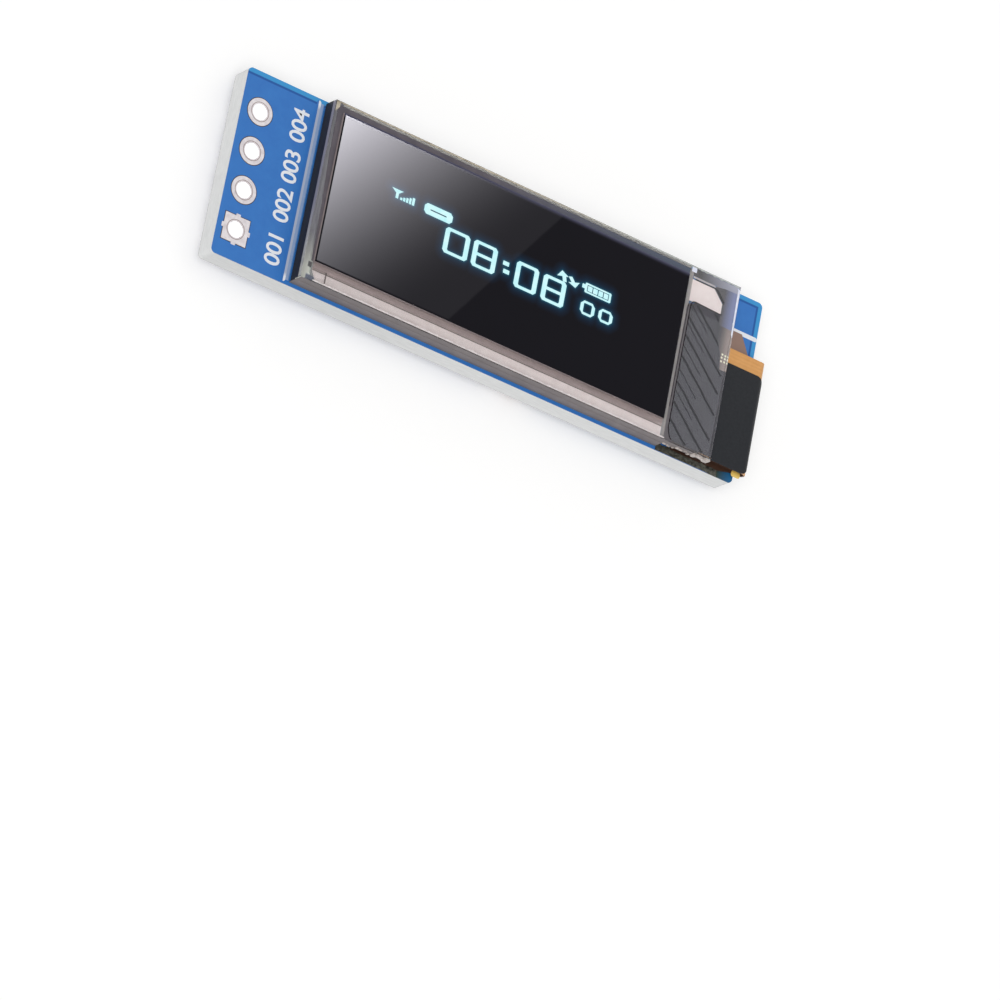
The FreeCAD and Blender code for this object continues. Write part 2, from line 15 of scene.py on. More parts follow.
import bmesh
import bpy
from mathutils import Matrix, Vector
from mathutils.bvhtree import BVHTree

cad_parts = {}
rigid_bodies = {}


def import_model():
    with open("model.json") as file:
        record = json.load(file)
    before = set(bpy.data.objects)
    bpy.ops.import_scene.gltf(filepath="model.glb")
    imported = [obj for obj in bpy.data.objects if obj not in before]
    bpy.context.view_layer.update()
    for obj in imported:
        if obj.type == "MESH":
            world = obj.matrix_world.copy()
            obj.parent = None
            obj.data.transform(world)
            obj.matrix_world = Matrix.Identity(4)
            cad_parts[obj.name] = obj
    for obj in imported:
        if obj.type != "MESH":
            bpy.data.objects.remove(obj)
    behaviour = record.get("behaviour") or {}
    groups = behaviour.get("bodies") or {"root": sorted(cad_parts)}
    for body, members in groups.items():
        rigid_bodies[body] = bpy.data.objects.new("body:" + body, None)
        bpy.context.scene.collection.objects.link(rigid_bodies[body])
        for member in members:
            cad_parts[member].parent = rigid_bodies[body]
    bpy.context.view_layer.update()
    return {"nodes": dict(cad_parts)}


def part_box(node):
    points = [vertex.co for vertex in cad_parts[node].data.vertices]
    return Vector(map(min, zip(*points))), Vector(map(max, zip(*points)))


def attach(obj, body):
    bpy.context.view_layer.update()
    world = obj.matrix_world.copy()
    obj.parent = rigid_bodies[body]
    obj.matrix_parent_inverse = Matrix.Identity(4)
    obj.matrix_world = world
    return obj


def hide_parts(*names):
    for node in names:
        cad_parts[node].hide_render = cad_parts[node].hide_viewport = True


MM = 0.001

Flat = tuple[float, float]
Spot = tuple[float, float, float]
Colour = tuple[float, float, float, float]
# A fade (axis, where it starts, where it ends) or a band (axis, middle, half width, soft edge).
Mask = tuple[int, float, float] | tuple[int, float, float, float]
Node = bpy.types.Node
Socket = bpy.types.NodeSocket
Tree = bpy.types.NodeTree
Piece = bpy.types.Object

BLACK: Colour = (0.0, 0.0, 0.0, 1.0)
WHITE: Colour = (1.0, 1.0, 1.0, 1.0)

log = logging.getLogger("display_module")


def tint(code: str) -> Colour:
    """Turns a display colour into the linear colour that a shader takes.

    Args:
        code: red, green and blue as six hexadecimal digits.

    Returns:
        The linear colour, opaque.
    """
    shares = [value / 255 for value in bytes.fromhex(code)]
    linear = [share / 12.92 if share < 0.04045 else ((share + 0.055) / 1.055) ** 2.4 for share in shares]
    return (linear[0], linear[1], linear[2], 1.0)


def box_mm(node: str) -> tuple[Vector, Vector]:
    """Gives a CAD node's lowest and highest corners in millimetres."""
    low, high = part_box(node)
    return low / MM, high / MM


class Sketch:
    """Draws the nodes of one material, world or group."""

    def __init__(self, tree: Tree) -> None:
        """Starts on an empty node tree."""
        self.tree = tree
        tree.nodes.clear()

    def add(self, kind: str, feeds: dict[str | int, object] | None = None, **settings: object) -> Node:
        """Adds a node.

        Args:
            kind: the node's type, without ShaderNode before it.
            feeds: values or other nodes' outputs for its inputs, by name or number.
            settings: the node's own properties.

        Returns:
            The node.
        """
        node = self.tree.nodes.new(kind if kind.startswith("Node") else "ShaderNode" + kind)
        for name, value in settings.items():
            setattr(node, name, value)
        for name, value in (feeds or {}).items():
            self.feed(node.inputs[name], value)
        return node

    def feed(self, socket: Socket, value: object) -> None:
        """Joins another node's output to a socket, or sets the socket's own value."""
        if isinstance(value, Socket):
            self.tree.links.new(value, socket)
        else:
            socket.default_value = value

    def spot(self, scale: Spot = (1.0, 1.0, 1.0)) -> Socket:
        """Gives the place on the object in millimetres, stretched by a scale."""
        place = self.add("TexCoord").outputs["Object"]
        return self.add("Mapping", {"Vector": place, "Scale": [share / MM for share in scale]}).outputs[0]

    def axes(self) -> tuple[Socket, ...]:
        """Gives the place on the object as three numbers in millimetres."""
        return tuple(self.add("SeparateXYZ", {0: self.spot()}).outputs)

    def maths(self, operation: str, first: object, second: object = 0.0) -> Socket:
        """Works out one sum of two values."""
        return self.add("Math", {0: first, 1: second}, operation=operation).outputs[0]

    def spread(self, value: object, start: float, end: float, low: float = 0.0, high: float = 1.0) -> Socket:
        """Turns the range from start to end into the range from low to high, held at both ends."""
        feeds = {"Value": value, "From Min": start, "From Max": end, "To Min": low, "To Max": high}
        return self.add("MapRange", feeds).outputs[0]

    def blend(self, share: object, first: object, second: object) -> Socket:
        """Mixes two colours, with the second one's share from 0 to 1."""
        return self.add("Mix", {0: share, 6: first, 7: second}, data_type="RGBA").outputs[2]

    def mix(self, share: object, first: object, second: object) -> Socket:
        """Mixes two surfaces, with the second one's share from 0 to 1."""
        return self.add("MixShader", {0: share, 1: first, 2: second}).outputs[0]

    def ramp(self, value: object, stops: Sequence[tuple[float, Colour]]) -> Socket:
        """Turns a value from 0 to 1 into a colour.

        Args:
            value: the value.
            stops: the places and colours of the ramp, in order.

        Returns:
            The colour.
        """
        node = self.add("ValToRGB", {0: value})
        elements = node.color_ramp.elements
        while len(elements) < len(stops):
            elements.new(1.0)
        for element, (place, colour) in zip(elements, stops):
            element.position = place
            element.color = colour
        return node.outputs[0]

    def group(self, tree: Tree, **inputs: object) -> Socket:
        """Places a shared group and gives its one output."""
        return self.add("Group", inputs, node_tree=tree).outputs[0]

    def grain(self, patches: float, contrast: float, scale: Spot = (1.0, 1.0, 1.0)) -> Socket:
        """Gives uneven patches from 0 to 1.

        Args:
            patches: how many patches there are to a millimetre.
            contrast: how hard their edges are.
            scale: stretch along each axis.

        Returns:
            The mask.
        """
        return self.group(Shared.grain(), Vector=self.spot(scale), Patches=patches, Contrast=contrast)

    def upright(self) -> Socket:
        """Gives 1 on faces that stand upright and 0 on faces that lie flat."""
        return self.group(Shared.upright())

    def band(self, value: object, middle: float, half: float, soft: float) -> Socket:
        """Gives 1 where a value is within half of middle, and 0 outside, with soft edges."""
        return self.group(Shared.band(), Value=value, Middle=middle, Half=half, Soft=soft)

    def where(self, *masks: Mask) -> Socket:
        """Gives the share of a zone, which lies where all its masks hold.

        Args:
            masks: fades with two places, and bands with a middle, a half width and a soft edge.

        Returns:
            The share, from 0 to 1.
        """
        axes = self.axes()
        shares = [(self.band if len(numbers) == 3 else self.spread)(axes[axis], *numbers)
                  for axis, *numbers in masks]
        return shares[0] if len(shares) == 1 else self.maths("MULTIPLY", *shares)


class Shared:
    """Effects that several finishes use, each built once as a node group."""

    made: dict[str, Tree] = {}

    @classmethod
    def begin(cls, name: str, inputs: Sequence[tuple[str, str]]) -> tuple[Sketch, Node, Node]:
        """Starts a group with its inputs and one output.

        Args:
            name: the group's name.
            inputs: name and socket type of each input.

        Returns:
            The group's sketch, its input node and its output node.
        """
        tree = bpy.data.node_groups.new(name, "ShaderNodeTree")
        for title, kind in inputs:
            tree.interface.new_socket(title, in_out="INPUT", socket_type=kind)
        tree.interface.new_socket("Mask", in_out="OUTPUT", socket_type="NodeSocketFloat")
        cls.made[name] = tree
        sketch = Sketch(tree)
        return sketch, sketch.add("NodeGroupInput"), sketch.add("NodeGroupOutput")

    @classmethod
    def grain(cls) -> Tree:
        """Makes uneven patches from 0 to 1, for colour, gloss and tiny bumps."""
        if "grain" not in cls.made:
            inputs = [("Vector", "NodeSocketVector"), ("Patches", "NodeSocketFloat"),
                      ("Contrast", "NodeSocketFloat")]
            sketch, start, end = cls.begin("grain", inputs)
            place, patches, contrast = start.outputs[:3]
            noise = sketch.add("TexNoise", {"Vector": place, "Scale": patches, "Detail": 4.0,
                                            "Roughness": 0.6})
            centred = sketch.maths("SUBTRACT", noise.outputs[0], 0.5)
            scaled = sketch.maths("MULTIPLY", centred, contrast)
            mask = sketch.maths("ADD", scaled, 0.5)
            mask.node.use_clamp = True
            sketch.feed(end.inputs[0], mask)
        return cls.made["grain"]

    @classmethod
    def upright(cls) -> Tree:
        """Makes a mask of the faces that stand upright."""
        if "upright" not in cls.made:
            sketch, _, end = cls.begin("upright", [])
            normal = sketch.add("SeparateXYZ", {0: sketch.add("NewGeometry").outputs["Normal"]})
            facing = sketch.maths("ABSOLUTE", normal.outputs[2])
            sketch.feed(end.inputs[0], sketch.spread(facing, 0.3, 0.8, 1.0, 0.0))
        return cls.made["upright"]

    @classmethod
    def band(cls) -> Tree:
        """Makes a soft-edged band round one value."""
        if "band" not in cls.made:
            inputs = [(name, "NodeSocketFloat") for name in ("Value", "Middle", "Half", "Soft")]
            sketch, start, end = cls.begin("band", inputs)
            away = sketch.maths("ABSOLUTE", sketch.maths("SUBTRACT", start.outputs["Value"],
                                                         start.outputs["Middle"]))
            past = sketch.maths("SUBTRACT", away, start.outputs["Half"])
            share = sketch.maths("DIVIDE", past, start.outputs["Soft"])
            share.node.use_clamp = True
            sketch.feed(end.inputs[0], sketch.maths("SUBTRACT", 1.0, share))
        return cls.made["band"]


def painted(name: str, surface: Callable[[Sketch], Socket]) -> bpy.types.Material:
    """Makes a material.

    Args:
        name: its name.
        surface: what draws its surface on a sketch.

    Returns:
        The material.
    """
    material = bpy.data.materials.new(name)
    material.use_nodes = True
    sketch = Sketch(material.node_tree)
    sketch.add("OutputMaterial", {"Surface": surface(sketch)})
    return material


@dataclass(frozen=True)
class Finish:
    """A surface whose colour, gloss and height vary with a fine grain."""

    name: str
    light: Colour
    dark: Colour
    rough: tuple[float, float] = (0.4, 0.6)
    metallic: float = 0.0
    specular: float = 0.5
    patches: float = 2.0
    contrast: float = 1.6
    bump_patches: float = 14.0
    bump: float = 0.002
    zones: Sequence[tuple[Colour, Sequence[Mask]]] = ()

    def surface(self, sketch: Sketch) -> Socket:
        """Gives the whole surface, here one plain shader."""
        return self.shader(sketch).outputs[0]

    def shader(self, sketch: Sketch) -> Node:
        """Makes the main shader, with its colour, gloss and bumps."""
        bump = sketch.add("Bump", {"Distance": self.bump * MM, "Height": self.height(sketch)})
        return sketch.add("BsdfPrincipled", {
            "Metallic": self.metallic, "Specular IOR Level": self.specular, "Base Color": self.colour(sketch),
            "Roughness": self.gloss(sketch), "Normal": bump.outputs[0]})

    def colour(self, sketch: Sketch) -> Socket:
        """Gives the colour over the surface, with the zones laid over it in order.

        Args:
            sketch: the material's sketch.

        Returns:
            The colour.
        """
        face = sketch.blend(sketch.grain(self.patches, self.contrast), self.dark, self.light)
        for colour, masks in self.zones:
            face = sketch.blend(sketch.where(*masks), face, colour)
        return face

    def gloss(self, sketch: Sketch) -> Socket:
        """Gives the roughness over the surface."""
        return sketch.spread(sketch.grain(self.patches * 1.7, self.contrast), 0.0, 1.0, *self.rough)

    def height(self, sketch: Sketch) -> Socket:
        """Gives the height of the surface's tiny bumps."""
        return sketch.grain(self.bump_patches, 1.0)


@dataclass(frozen=True)
class FrontLacquer(Finish):
    """Glossy blue lacquer, with a paler border past the copper's edge on two sides."""

    border: Colour = BLACK
    line: Colour = BLACK
    # Olive and teal for the corner by the flex end: a painted shadow and reflection of the tail.
    tail_shadow: Colour = BLACK
    corner: Colour = BLACK
    near: Sequence[Mask] = ((1, -5.2, -5.35), (0, 16.6, 17.0))
    border_width: float = 0.36
    line_width: float = 0.09
    right: float = 18.725
    top: float = 6.0

    def colour(self, sketch: Sketch) -> Socket:
        """Gives the lacquer's blue, its border and the dark line between them.

        Args:
            sketch: the material's sketch.

        Returns:
            The colour.
        """
        x, y, _ = sketch.axes()
        rim = sketch.maths("MINIMUM", sketch.maths("SUBTRACT", self.top, y),
                           sketch.maths("SUBTRACT", self.right, x))
        plain = super().colour(sketch)
        bordered = sketch.blend(sketch.band(rim, 0.0, self.border_width, 0.05), plain, self.border)
        edge = sketch.band(rim, self.border_width, self.line_width / 2, 0.05)
        face = sketch.blend(edge, bordered, self.line)
        # Painted shadow and reflection of the tail: olive, turning teal towards the board's corner.
        shaded = sketch.blend(sketch.spread(x, 17.5, 18.5), self.tail_shadow, self.corner)
        return sketch.blend(sketch.where(*self.near), face, shaded)


@dataclass(frozen=True)
class BackLacquer(Finish):
    """Glossy blue lacquer: bright over copper, darker over bare laminate beyond the chips."""

    cut: Colour = (0.62, 0.63, 0.63, 1.0)
    bare: Colour = BLACK
    far: Colour = BLACK
    rim: Colour = BLACK
    bare_from: float = 5.3
    bare_to: float = 8.2
    rim_reach: float = 2.4
    right: float = 18.725
    half_width: float = 6.0

    def colour(self, sketch: Sketch) -> Socket:
        """Gives each zone's blue, paler towards the edges at the far end.

        Args:
            sketch: the material's sketch.

        Returns:
            The colour.
        """
        x, y, _ = sketch.axes()
        across = sketch.maths("SUBTRACT", self.half_width, sketch.maths("ABSOLUTE", y))
        edge = sketch.maths("MINIMUM", across, sketch.maths("SUBTRACT", self.right, x))
        far = sketch.blend(sketch.spread(x, self.bare_to, self.bare_to + 1.6), self.bare, self.far)
        share = sketch.spread(edge, 0.0, self.rim_reach, 0.85, 0.0)
        far = sketch.blend(share, far, self.rim)
        mottled = sketch.blend(sketch.grain(0.35, 1.8), far, self.rim)
        far = sketch.blend(0.12, far, mottled)
        face = sketch.blend(sketch.spread(x, self.bare_from, self.bare_from + 0.08),
                            super().colour(sketch), far)
        return sketch.blend(sketch.upright(), face, self.cut)


@dataclass(frozen=True)
class Laminate(Finish):
    """Cut edge of the glass-fibre board, with thin layers along it."""

    layer: Colour = BLACK
    # Dark brown for both faces, seen only in the narrow gaps round the pads: painted shade.
    face: Colour = BLACK
    middle: float = 1.865
    half: float = 0.69

    def colour(self, sketch: Sketch) -> Socket:
        """Gives pale resin with faint layers at the sides, and dark brown on both faces, which show only in
        the narrow gaps round the pads as painted shade.

        Args:
            sketch: the material's sketch.

        Returns:
            The colour.
        """
        plain = super().colour(sketch)
        layers = sketch.grain(1.0, 3.0, (1.2, 1.2, 11.0))
        sides = sketch.blend(sketch.spread(layers, 0.0, 1.0, 0.0, 0.45), plain, self.layer)
        _, _, z = sketch.axes()
        return sketch.blend(sketch.band(z, self.middle, self.half, 0.004), self.face, sides)


@dataclass(frozen=True)
class Clear(Finish):
    """Clear glass that lets the lamps through, with its cut sides a little rough."""

    ior: float = 1.5
    side_rough: float = 0.22

    def surface(self, sketch: Sketch) -> Socket:
        """Gives glass to every ray but a lamp's shadow ray.

        Args:
            sketch: the material's sketch.

        Returns:
            The surface.
        """
        shader = self.shader(sketch)
        shader.inputs["Transmission Weight"].default_value = 1.0
        shader.inputs["IOR"].default_value = self.ior
        clear = sketch.add("BsdfTransparent", {0: self.light})
        shadow = sketch.add("LightPath").outputs["Is Shadow Ray"]
        return sketch.mix(shadow, shader.outputs[0], clear.outputs[0])

    def gloss(self, sketch: Sketch) -> Socket:
        """Gives polished faces and slightly ground sides."""
        return sketch.spread(sketch.upright(), 0.0, 1.0, self.rough[0], self.side_rough)


@dataclass(frozen=True)
class Screen(Finish):
    """Smooth near-black film that glows faintly round the lit pixels."""

    halo: Colour = BLACK
    near: Colour = BLACK
    core: Colour = BLACK
    rim: Colour = (0.09, 0.09, 0.15, 1.0)
    side: Colour = (0.3, 0.25, 0.25, 1.0)
    rim_start: float = 4.74
    rim_end: float = 5.04
    attribute: str = "glow"

    def colour(self, sketch: Sketch) -> Socket:
        """Gives the film's black, fading to grey blue along its upper edge.

        Args:
            sketch: the material's sketch.

        Returns:
            The colour.
        """
        _, y, _ = sketch.axes()
        share = sketch.maths("POWER", sketch.spread(y, self.rim_start, self.rim_end), 2.0)
        face = sketch.blend(share, super().colour(sketch), self.rim)
        return sketch.blend(sketch.upright(), face, self.side)

    def shader(self, sketch: Sketch) -> Node:
        """Adds the glow to the film's plain shader.

        Args:
            sketch: the material's sketch.

        Returns:
            The shader.
        """
        shader = super().shader(sketch)
        glow = sketch.add("Attribute", attribute_name=self.attribute)
        stops = [(0.0, BLACK), (0.5, self.halo), (0.8, self.near), (1.0, self.core)]
        colour = sketch.ramp(glow.outputs["Fac"], stops)
        sketch.feed(shader.inputs["Emission Color"], colour)
        shader.inputs["Emission Strength"].default_value = 1.0
        return shader


@dataclass(frozen=True)
class Lit(Finish):
    """Lit pixel: pale cyan light, a little uneven from pixel to pixel."""

    def shader(self, sketch: Sketch) -> Node:
        """Makes the pixel's light out of its own colour.

        Args:
            sketch: the material's sketch.

        Returns:
            The shader.
        """
        shader = super().shader(sketch)
        colour = shader.inputs["Base Color"].links[0]
        sketch.feed(shader.inputs["Emission Color"], colour.from_socket)
        sketch.tree.links.remove(colour)
        shader.inputs["Base Color"].default_value = BLACK
        shader.inputs["Emission Strength"].default_value = 1.0
        return shader


@dataclass(frozen=True)
class Tail(Finish):
    """Amber film over fine copper lines, browner on the leaf that lies on the board, its own colour deepened
    by painted shade, and near black along that leaf's near edge as painted shade.
    """

    copper: Colour = BLACK
    line_pitch: float = 0.23
    line_share: float = 0.22

    def colour(self, sketch: Sketch) -> Socket:
        """Draws faint lines along the tail above the board.

        Args:
            sketch: the material's sketch.

        Returns:
            The colour.
        """
        wave = sketch.maths("PINGPONG", sketch.axes()[1], self.line_pitch / 2)
        lines = sketch.spread(wave, self.line_pitch * 0.22, self.line_pitch * 0.3, 0.0, self.line_share)
        share = sketch.maths("MULTIPLY", lines, sketch.where((2, 2.9, 3.0)))
        return sketch.blend(share, super().colour(sketch), self.copper)


@dataclass(frozen=True)
class Seal(Finish):
    """Cured resin between the glasses: taupe, paler along the top, streaked at the pin end."""

    pale: Colour = BLACK
    line: Colour = BLACK
    end: Colour = BLACK
    streak: Colour = BLACK
    bright: Colour = BLACK
    corner_shade: Colour = BLACK
    line_y: float = 5.56

    def colour(self, sketch: Sketch) -> Socket:
        """Gives the resin's taupe, its pale top run and the zones of the pin end.

        Args:
            sketch: the material's sketch.

        Returns:
            The colour.
        """
        x, y, _ = sketch.axes()
        top = sketch.blend(sketch.spread(x, -8.0, 12.0, 0.0, 0.75), self.pale, self.light)
        body = sketch.blend(sketch.spread(y, 4.9, 5.0), super().colour(sketch), top)
        body = sketch.blend(sketch.band(y, self.line_y, 0.02, 0.04), body, self.line)
        streaks = sketch.grain(1.0, 3.0, (3.2, 0.25, 1.0))
        end = sketch.blend(streaks, self.end, self.streak)
        end = sketch.blend(sketch.spread(y, -4.9, -2.6, 1.0, 0.0), end, self.bright)
        body = sketch.blend(sketch.spread(x, -13.15, -13.05, 1.0, 0.0), body, end)
        # Slate grey by the strip's cut corner: painted shade.
        corner = sketch.where((0, -12.98, 0.36, 0.08), (1, -5.18, -5.3))
        body = sketch.blend(corner, body, self.corner_shade)
        mark = sketch.where((0, -13.23, 0.11, 0.04), (1, -4.62, 0.14, 0.05))
        return sketch.blend(mark, body, self.line)


@dataclass(frozen=True)
class Veil(Finish):
    """Thin clouded film that what lies behind it shows through."""

    alpha: float = 0.92

    def shader(self, sketch: Sketch) -> Node:
        """Adds the see-through share to the plain shader.

        Args:
            sketch: the material's sketch.

        Returns:
            The shader.
        """
        shader = super().shader(sketch)
        shader.inputs["Alpha"].default_value = self.alpha
        return shader


@dataclass(frozen=True)
class Plated(Finish):
    """Tinned land round a hole, with a bright smooth wall inside the hole."""

    wall: Colour = (1.0, 1.0, 1.0, 1.0)
    middle: float = 1.865
    half: float = 0.69

    def inside(self, sketch: Sketch) -> Socket:
        """Gives 1 on the wall of the hole and 0 on the lands."""
        return sketch.band(sketch.axes()[2], self.middle, self.half, 0.01)

    def colour(self, sketch: Sketch) -> Socket:
        """Gives the tin of the lands and the bright wall."""
        return sketch.blend(self.inside(sketch), super().colour(sketch), self.wall)

    def gloss(self, sketch: Sketch) -> Socket:
        """Gives the lands' gloss, and a smoother wall."""
        share = sketch.maths("MULTIPLY", self.inside(sketch), -0.16)
        return sketch.maths("ADD", super().gloss(sketch), share)


LACQUER_BLUE = tint("3272bc")
FRONT_LACQUER = FrontLacquer("front_lacquer", tint("387ac4"), tint("3270bc"), (0.3, 0.42),
                             patches=1.4, border=tint("3a94d0"), line=tint("1e569e"),
                             tail_shadow=tint("324030"), corner=tint("1e6292"), bump_patches=9.0,
                             bump=0.0035, specular=0.3)
BACK_LACQUER = BackLacquer("back_lacquer", tint("006cce"), tint("0064c6"), (0.25, 0.38), patches=1.4,
                           bare=tint("0854a2"), far=tint("1a68b2"), rim=tint("1286d4"),
                           bump_patches=9.0, bump=0.0035, specular=0.16)
BACK_LACQUER_PLAIN = Finish("back_lacquer_over_pour", tint("0070d4"), tint("0068ca"), (0.25, 0.38),
                            patches=1.4, bump_patches=9.0, bump=0.0035, specular=0.16)
NAVY_LACQUER = Finish("lacquer_in_cells", tint("1a284a"), tint("0e1832"), (0.3, 0.45), patches=4.0,
                      contrast=2.4, bump_patches=9.0, bump=0.003, specular=0.2)
BARE_LACQUER = Finish("lacquer_over_bare_laminate", tint("064c96"), tint("024288"), (0.3, 0.42),
                      bump_patches=9.0, bump=0.003, specular=0.16)
TRACK_LACQUER = Finish("lacquer_over_track", tint("2886da"), tint("1c7ad0"), (0.25, 0.38),
                       bump_patches=9.0, bump=0.003, specular=0.2)
# Pale blue on the plug of each covered hole: a painted glint.
VIA_GLINT = Finish("via_plug_painted_glint", tint("aaceec"), tint("8cb8e2"), (0.2, 0.3), patches=6.0)
LAMINATE = Laminate("glass_fibre_edge", tint("eaebeb"), tint("e2e3e3"), (0.6, 0.8),
                    layer=tint("cccecd"), face=tint("463a38"), bump_patches=22.0, bump=0.006)
WHITE_INK = Finish("white_ink", tint("f0f2f6"), tint("e2e6ee"), (0.5, 0.7), patches=5.0, bump=0.003)
LINE_INK = Finish("white_ink_lines", tint("f0f2f6"), tint("e2e6ee"), (0.5, 0.7), patches=5.0,
                     bump=0.003, zones=[
                      # Greyer middle of the printed bar: painted shade on the white print.
                      (tint("b0bad0"), [(1, 0.0, 5.3, 0.25), (0, -14.13, 0.3, 0.05)]),
                      (LACQUER_BLUE, [(0, -14.28, -14.29)])])
# The bar beside the glass is white print, greyed blue as painted shade.
SHADED_INK = Finish("white_ink_painted_shade", tint("98aed2"), tint("86a0ca"), (0.5, 0.7), patches=4.0,
                  bump=0.003)
# Pale blue line at the foot of the glass: a painted highlight.
PAINTED_HIGHLIGHT_LINE = Finish("painted_highlight_line", tint("709cce"), tint("5486c0"), (0.5, 0.7), patches=4.0, bump=0.002)
PLATED = Plated("plated_hole", tint("ece7e8"), tint("c6bec2"), (0.24, 0.4), 1.0, patches=3.0,
                bump_patches=4.0, bump=0.008)
TIN = Finish("tinned_metal", tint("ece7e8"), tint("c6bec2"), (0.24, 0.4), 1.0, patches=3.0,
             bump_patches=4.0, bump=0.012)
LAND_GROOVE = Finish("land_groove", tint("96807a"), tint("74605c"), (0.4, 0.6), 0.6, patches=4.0)
# The hard dark patches in the solder's colour are painted reflections of dark surroundings, over its own
# uneven tone.
SOLDER = Finish("solder", tint("faf8f4"), tint("5c5452"), (0.14, 0.34), 1.0, patches=2.6, contrast=3.2,
                bump_patches=3.0, bump=0.035)
COPPER = Finish("bare_copper", tint("e2a07a"), tint("ce8862"), (0.3, 0.45), 1.0)
OLIVE = Finish("olive_ceramic", tint("9c8a68"), tint("847252"), (0.45, 0.65), patches=5.0,
               bump_patches=20.0, bump=0.005)
ORANGE = Finish("orange_ceramic", tint("ce8c62"), tint("b8764e"), (0.45, 0.65), patches=5.0,
                bump_patches=20.0, bump=0.005)
TAN = Finish("tan_ceramic", tint("d0b088"), tint("ba9870"), (0.45, 0.65), patches=5.0,
             bump_patches=20.0, bump=0.005)
RESISTOR = Finish("resistor_glaze", tint("605a56"), tint("48423e"), (0.2, 0.34), patches=6.0,
                  bump=0.004, zones=[(tint("e0ded6"), [(2, 0.72, 0.74)])])
MOULDING = Finish("black_moulding", tint("463f3e"), tint("36302f"), (0.5, 0.7), patches=8.0,
                  bump_patches=24.0, bump=0.008)
CLEAR_GLASS = Clear("clear_glass", tint("f4f7f7"), tint("eef3f4"), (0.015, 0.03), patches=0.4,
                    bump_patches=0.5, bump=0.0006)
# The near black at the pin end (x below -13.81) is painted shade on the glass's end wall.
REAR_GLASS = Finish("rear_glass", tint("867f7e"), tint("686262"), (0.3, 0.42), specular=0.12,
                    patches=1.2, zones=[(tint("686262"), [(2, 3.275, 3.285)]),
                                        (tint("22232a"), [(0, -13.81, -13.83)])])
SEAL = Seal("seal_resin", tint("9e9998"), tint("868182"), (0.3, 0.5), patches=0.7,
            pale=tint("d6cfc8"), line=tint("5c585a"), end=tint("9e9ba0"),
            streak=tint("7a7682"), bright=tint("d6d4ca"), corner_shade=tint("62687c"))
GETTER = Finish("drying_sheet", tint("e2e2dc"), tint("cecec8"), (0.8, 0.95), patches=6.0, bump=0.01)
PIXEL_FILM = Finish("pixel_film", tint("24242c"), tint("18181e"), (0.2, 0.3))
SCREEN = Screen("screen_film", (0.0016, 0.0009, 0.0044, 1.0), (0.0010, 0.0006, 0.0034, 1.0), (0.008, 0.014),
                specular=0.11, halo=tint("021626"), near=tint("04263a"), core=tint("0e5066"),
                patches=0.5, bump_patches=0.3, bump=0.0001)
LIT_PIXEL = Lit("lit_pixel", tint("dcfeff"), tint("b8f4fa"), (0.2, 0.3), specular=0.1,
                patches=2.6, contrast=2.0)
PALE_METAL = Finish("pale_metal_film", tint("f4e1df"), tint("e8d1ce"), (0.42, 0.6), 0.1,
                    patches=2.5, bump=0.0005)
DULL_METAL = Finish("dull_metal_film", tint("b29b98"), tint("a08b89"), (0.45, 0.6), patches=2.5,
                    bump=0.0005)
BROWN_EDGE = Finish("brown_film_edge", tint("74625e"), tint("5c4c4a"), patches=4.0)
# Pale uneven band on the glass's near top edge: painted highlight along the chipped rim.
NEAR_EDGE_HIGHLIGHT = Finish("near_edge_highlight", tint("f0e6e6"), tint("cec4c3"), patches=5.0, contrast=2.6)
PALE_LINE = Finish("pale_film_line", tint("cec6c6"), tint("b8b0b2"), patches=3.0)
DARK_EDGE = Finish("dark_film_edge_and_shadow", tint("2e2a30"), tint("1e1c22"), patches=5.0, specular=0.2)
BLACK_LINE = Finish("black_line", tint("3a3236"), tint("1e1a20"), (0.6, 0.8), patches=7.0, contrast=2.0,
                    specular=0.0)
SHADE = Finish("film_shade", tint("70686c"), tint("5c565c"), patches=2.0, specular=0.2)
GROUND_SIDE = Finish("ground_glass_side", tint("827c7c"), tint("706a6b"), (0.5, 0.7), patches=0.8,
                     bump_patches=6.0, bump=0.006, specular=0.2)
END_BLACK = Finish("shaded_glass_end", tint("282832"), tint("1a1b24"), (0.35, 0.55), patches=1.2,
                   specular=0.15)
END_PALE = Finish("ground_glass_end", tint("c8c5bc"), tint("a09e9a"), patches=2.4,
                  contrast=2.6, specular=0.2, zones=[(tint("8c8994"), [(1, -4.6, -1.0)])])
FRINGE = Veil("screen_fringe", tint("6c666c"), tint("58545c"), patches=1.2, contrast=2.4,
              alpha=0.86, specular=0.2, zones=[(tint("586070"), [(0, -4.0, 11.0)])])
# Beige glass rim; its pale patches and the lighter grey towards the flex end are painted highlights.
TOP_RIM = Veil("top_rim", tint("d8ceba"), tint("9e927e"), patches=2.4, contrast=2.8,
               alpha=0.85, specular=0.2, zones=[(tint("c4c8c4"), [(0, -1.0, 11.0)])])
AMBER = Tail("amber_tail", tint("dea462"), tint("d09450"), (0.3, 0.45), patches=3.0,
             copper=tint("be8448"), bump_patches=6.0,
             # Brown leaf on the board: its own colour and painted shade; the near black zone along its near
             # edge is painted shade.
             zones=[(tint("8c7064"), [(2, 3.05, 2.75)]),
                    (tint("3e2a20"), [(1, -4.9, -5.3), (2, 3.2, 3.0)])])
TIP = Finish("bright_polyimide", tint("fcdc80"), tint("e6be5c"), (0.3, 0.4), patches=3.0)
COVER = Finish("cover_film", tint("3c3742"), tint("322e39"), (0.5, 0.62), patches=1.6,
               bump_patches=4.0, bump=0.0004, specular=0.2)
HATCH = Finish("film_hatch", tint("1e1c26"), tint("14131b"), (0.5, 0.65), patches=3.0, specular=0.1)
SOLDER_DOT = Finish("contact_dot", tint("faf6e2"), tint("eae2c4"), (0.3, 0.45), patches=5.0)
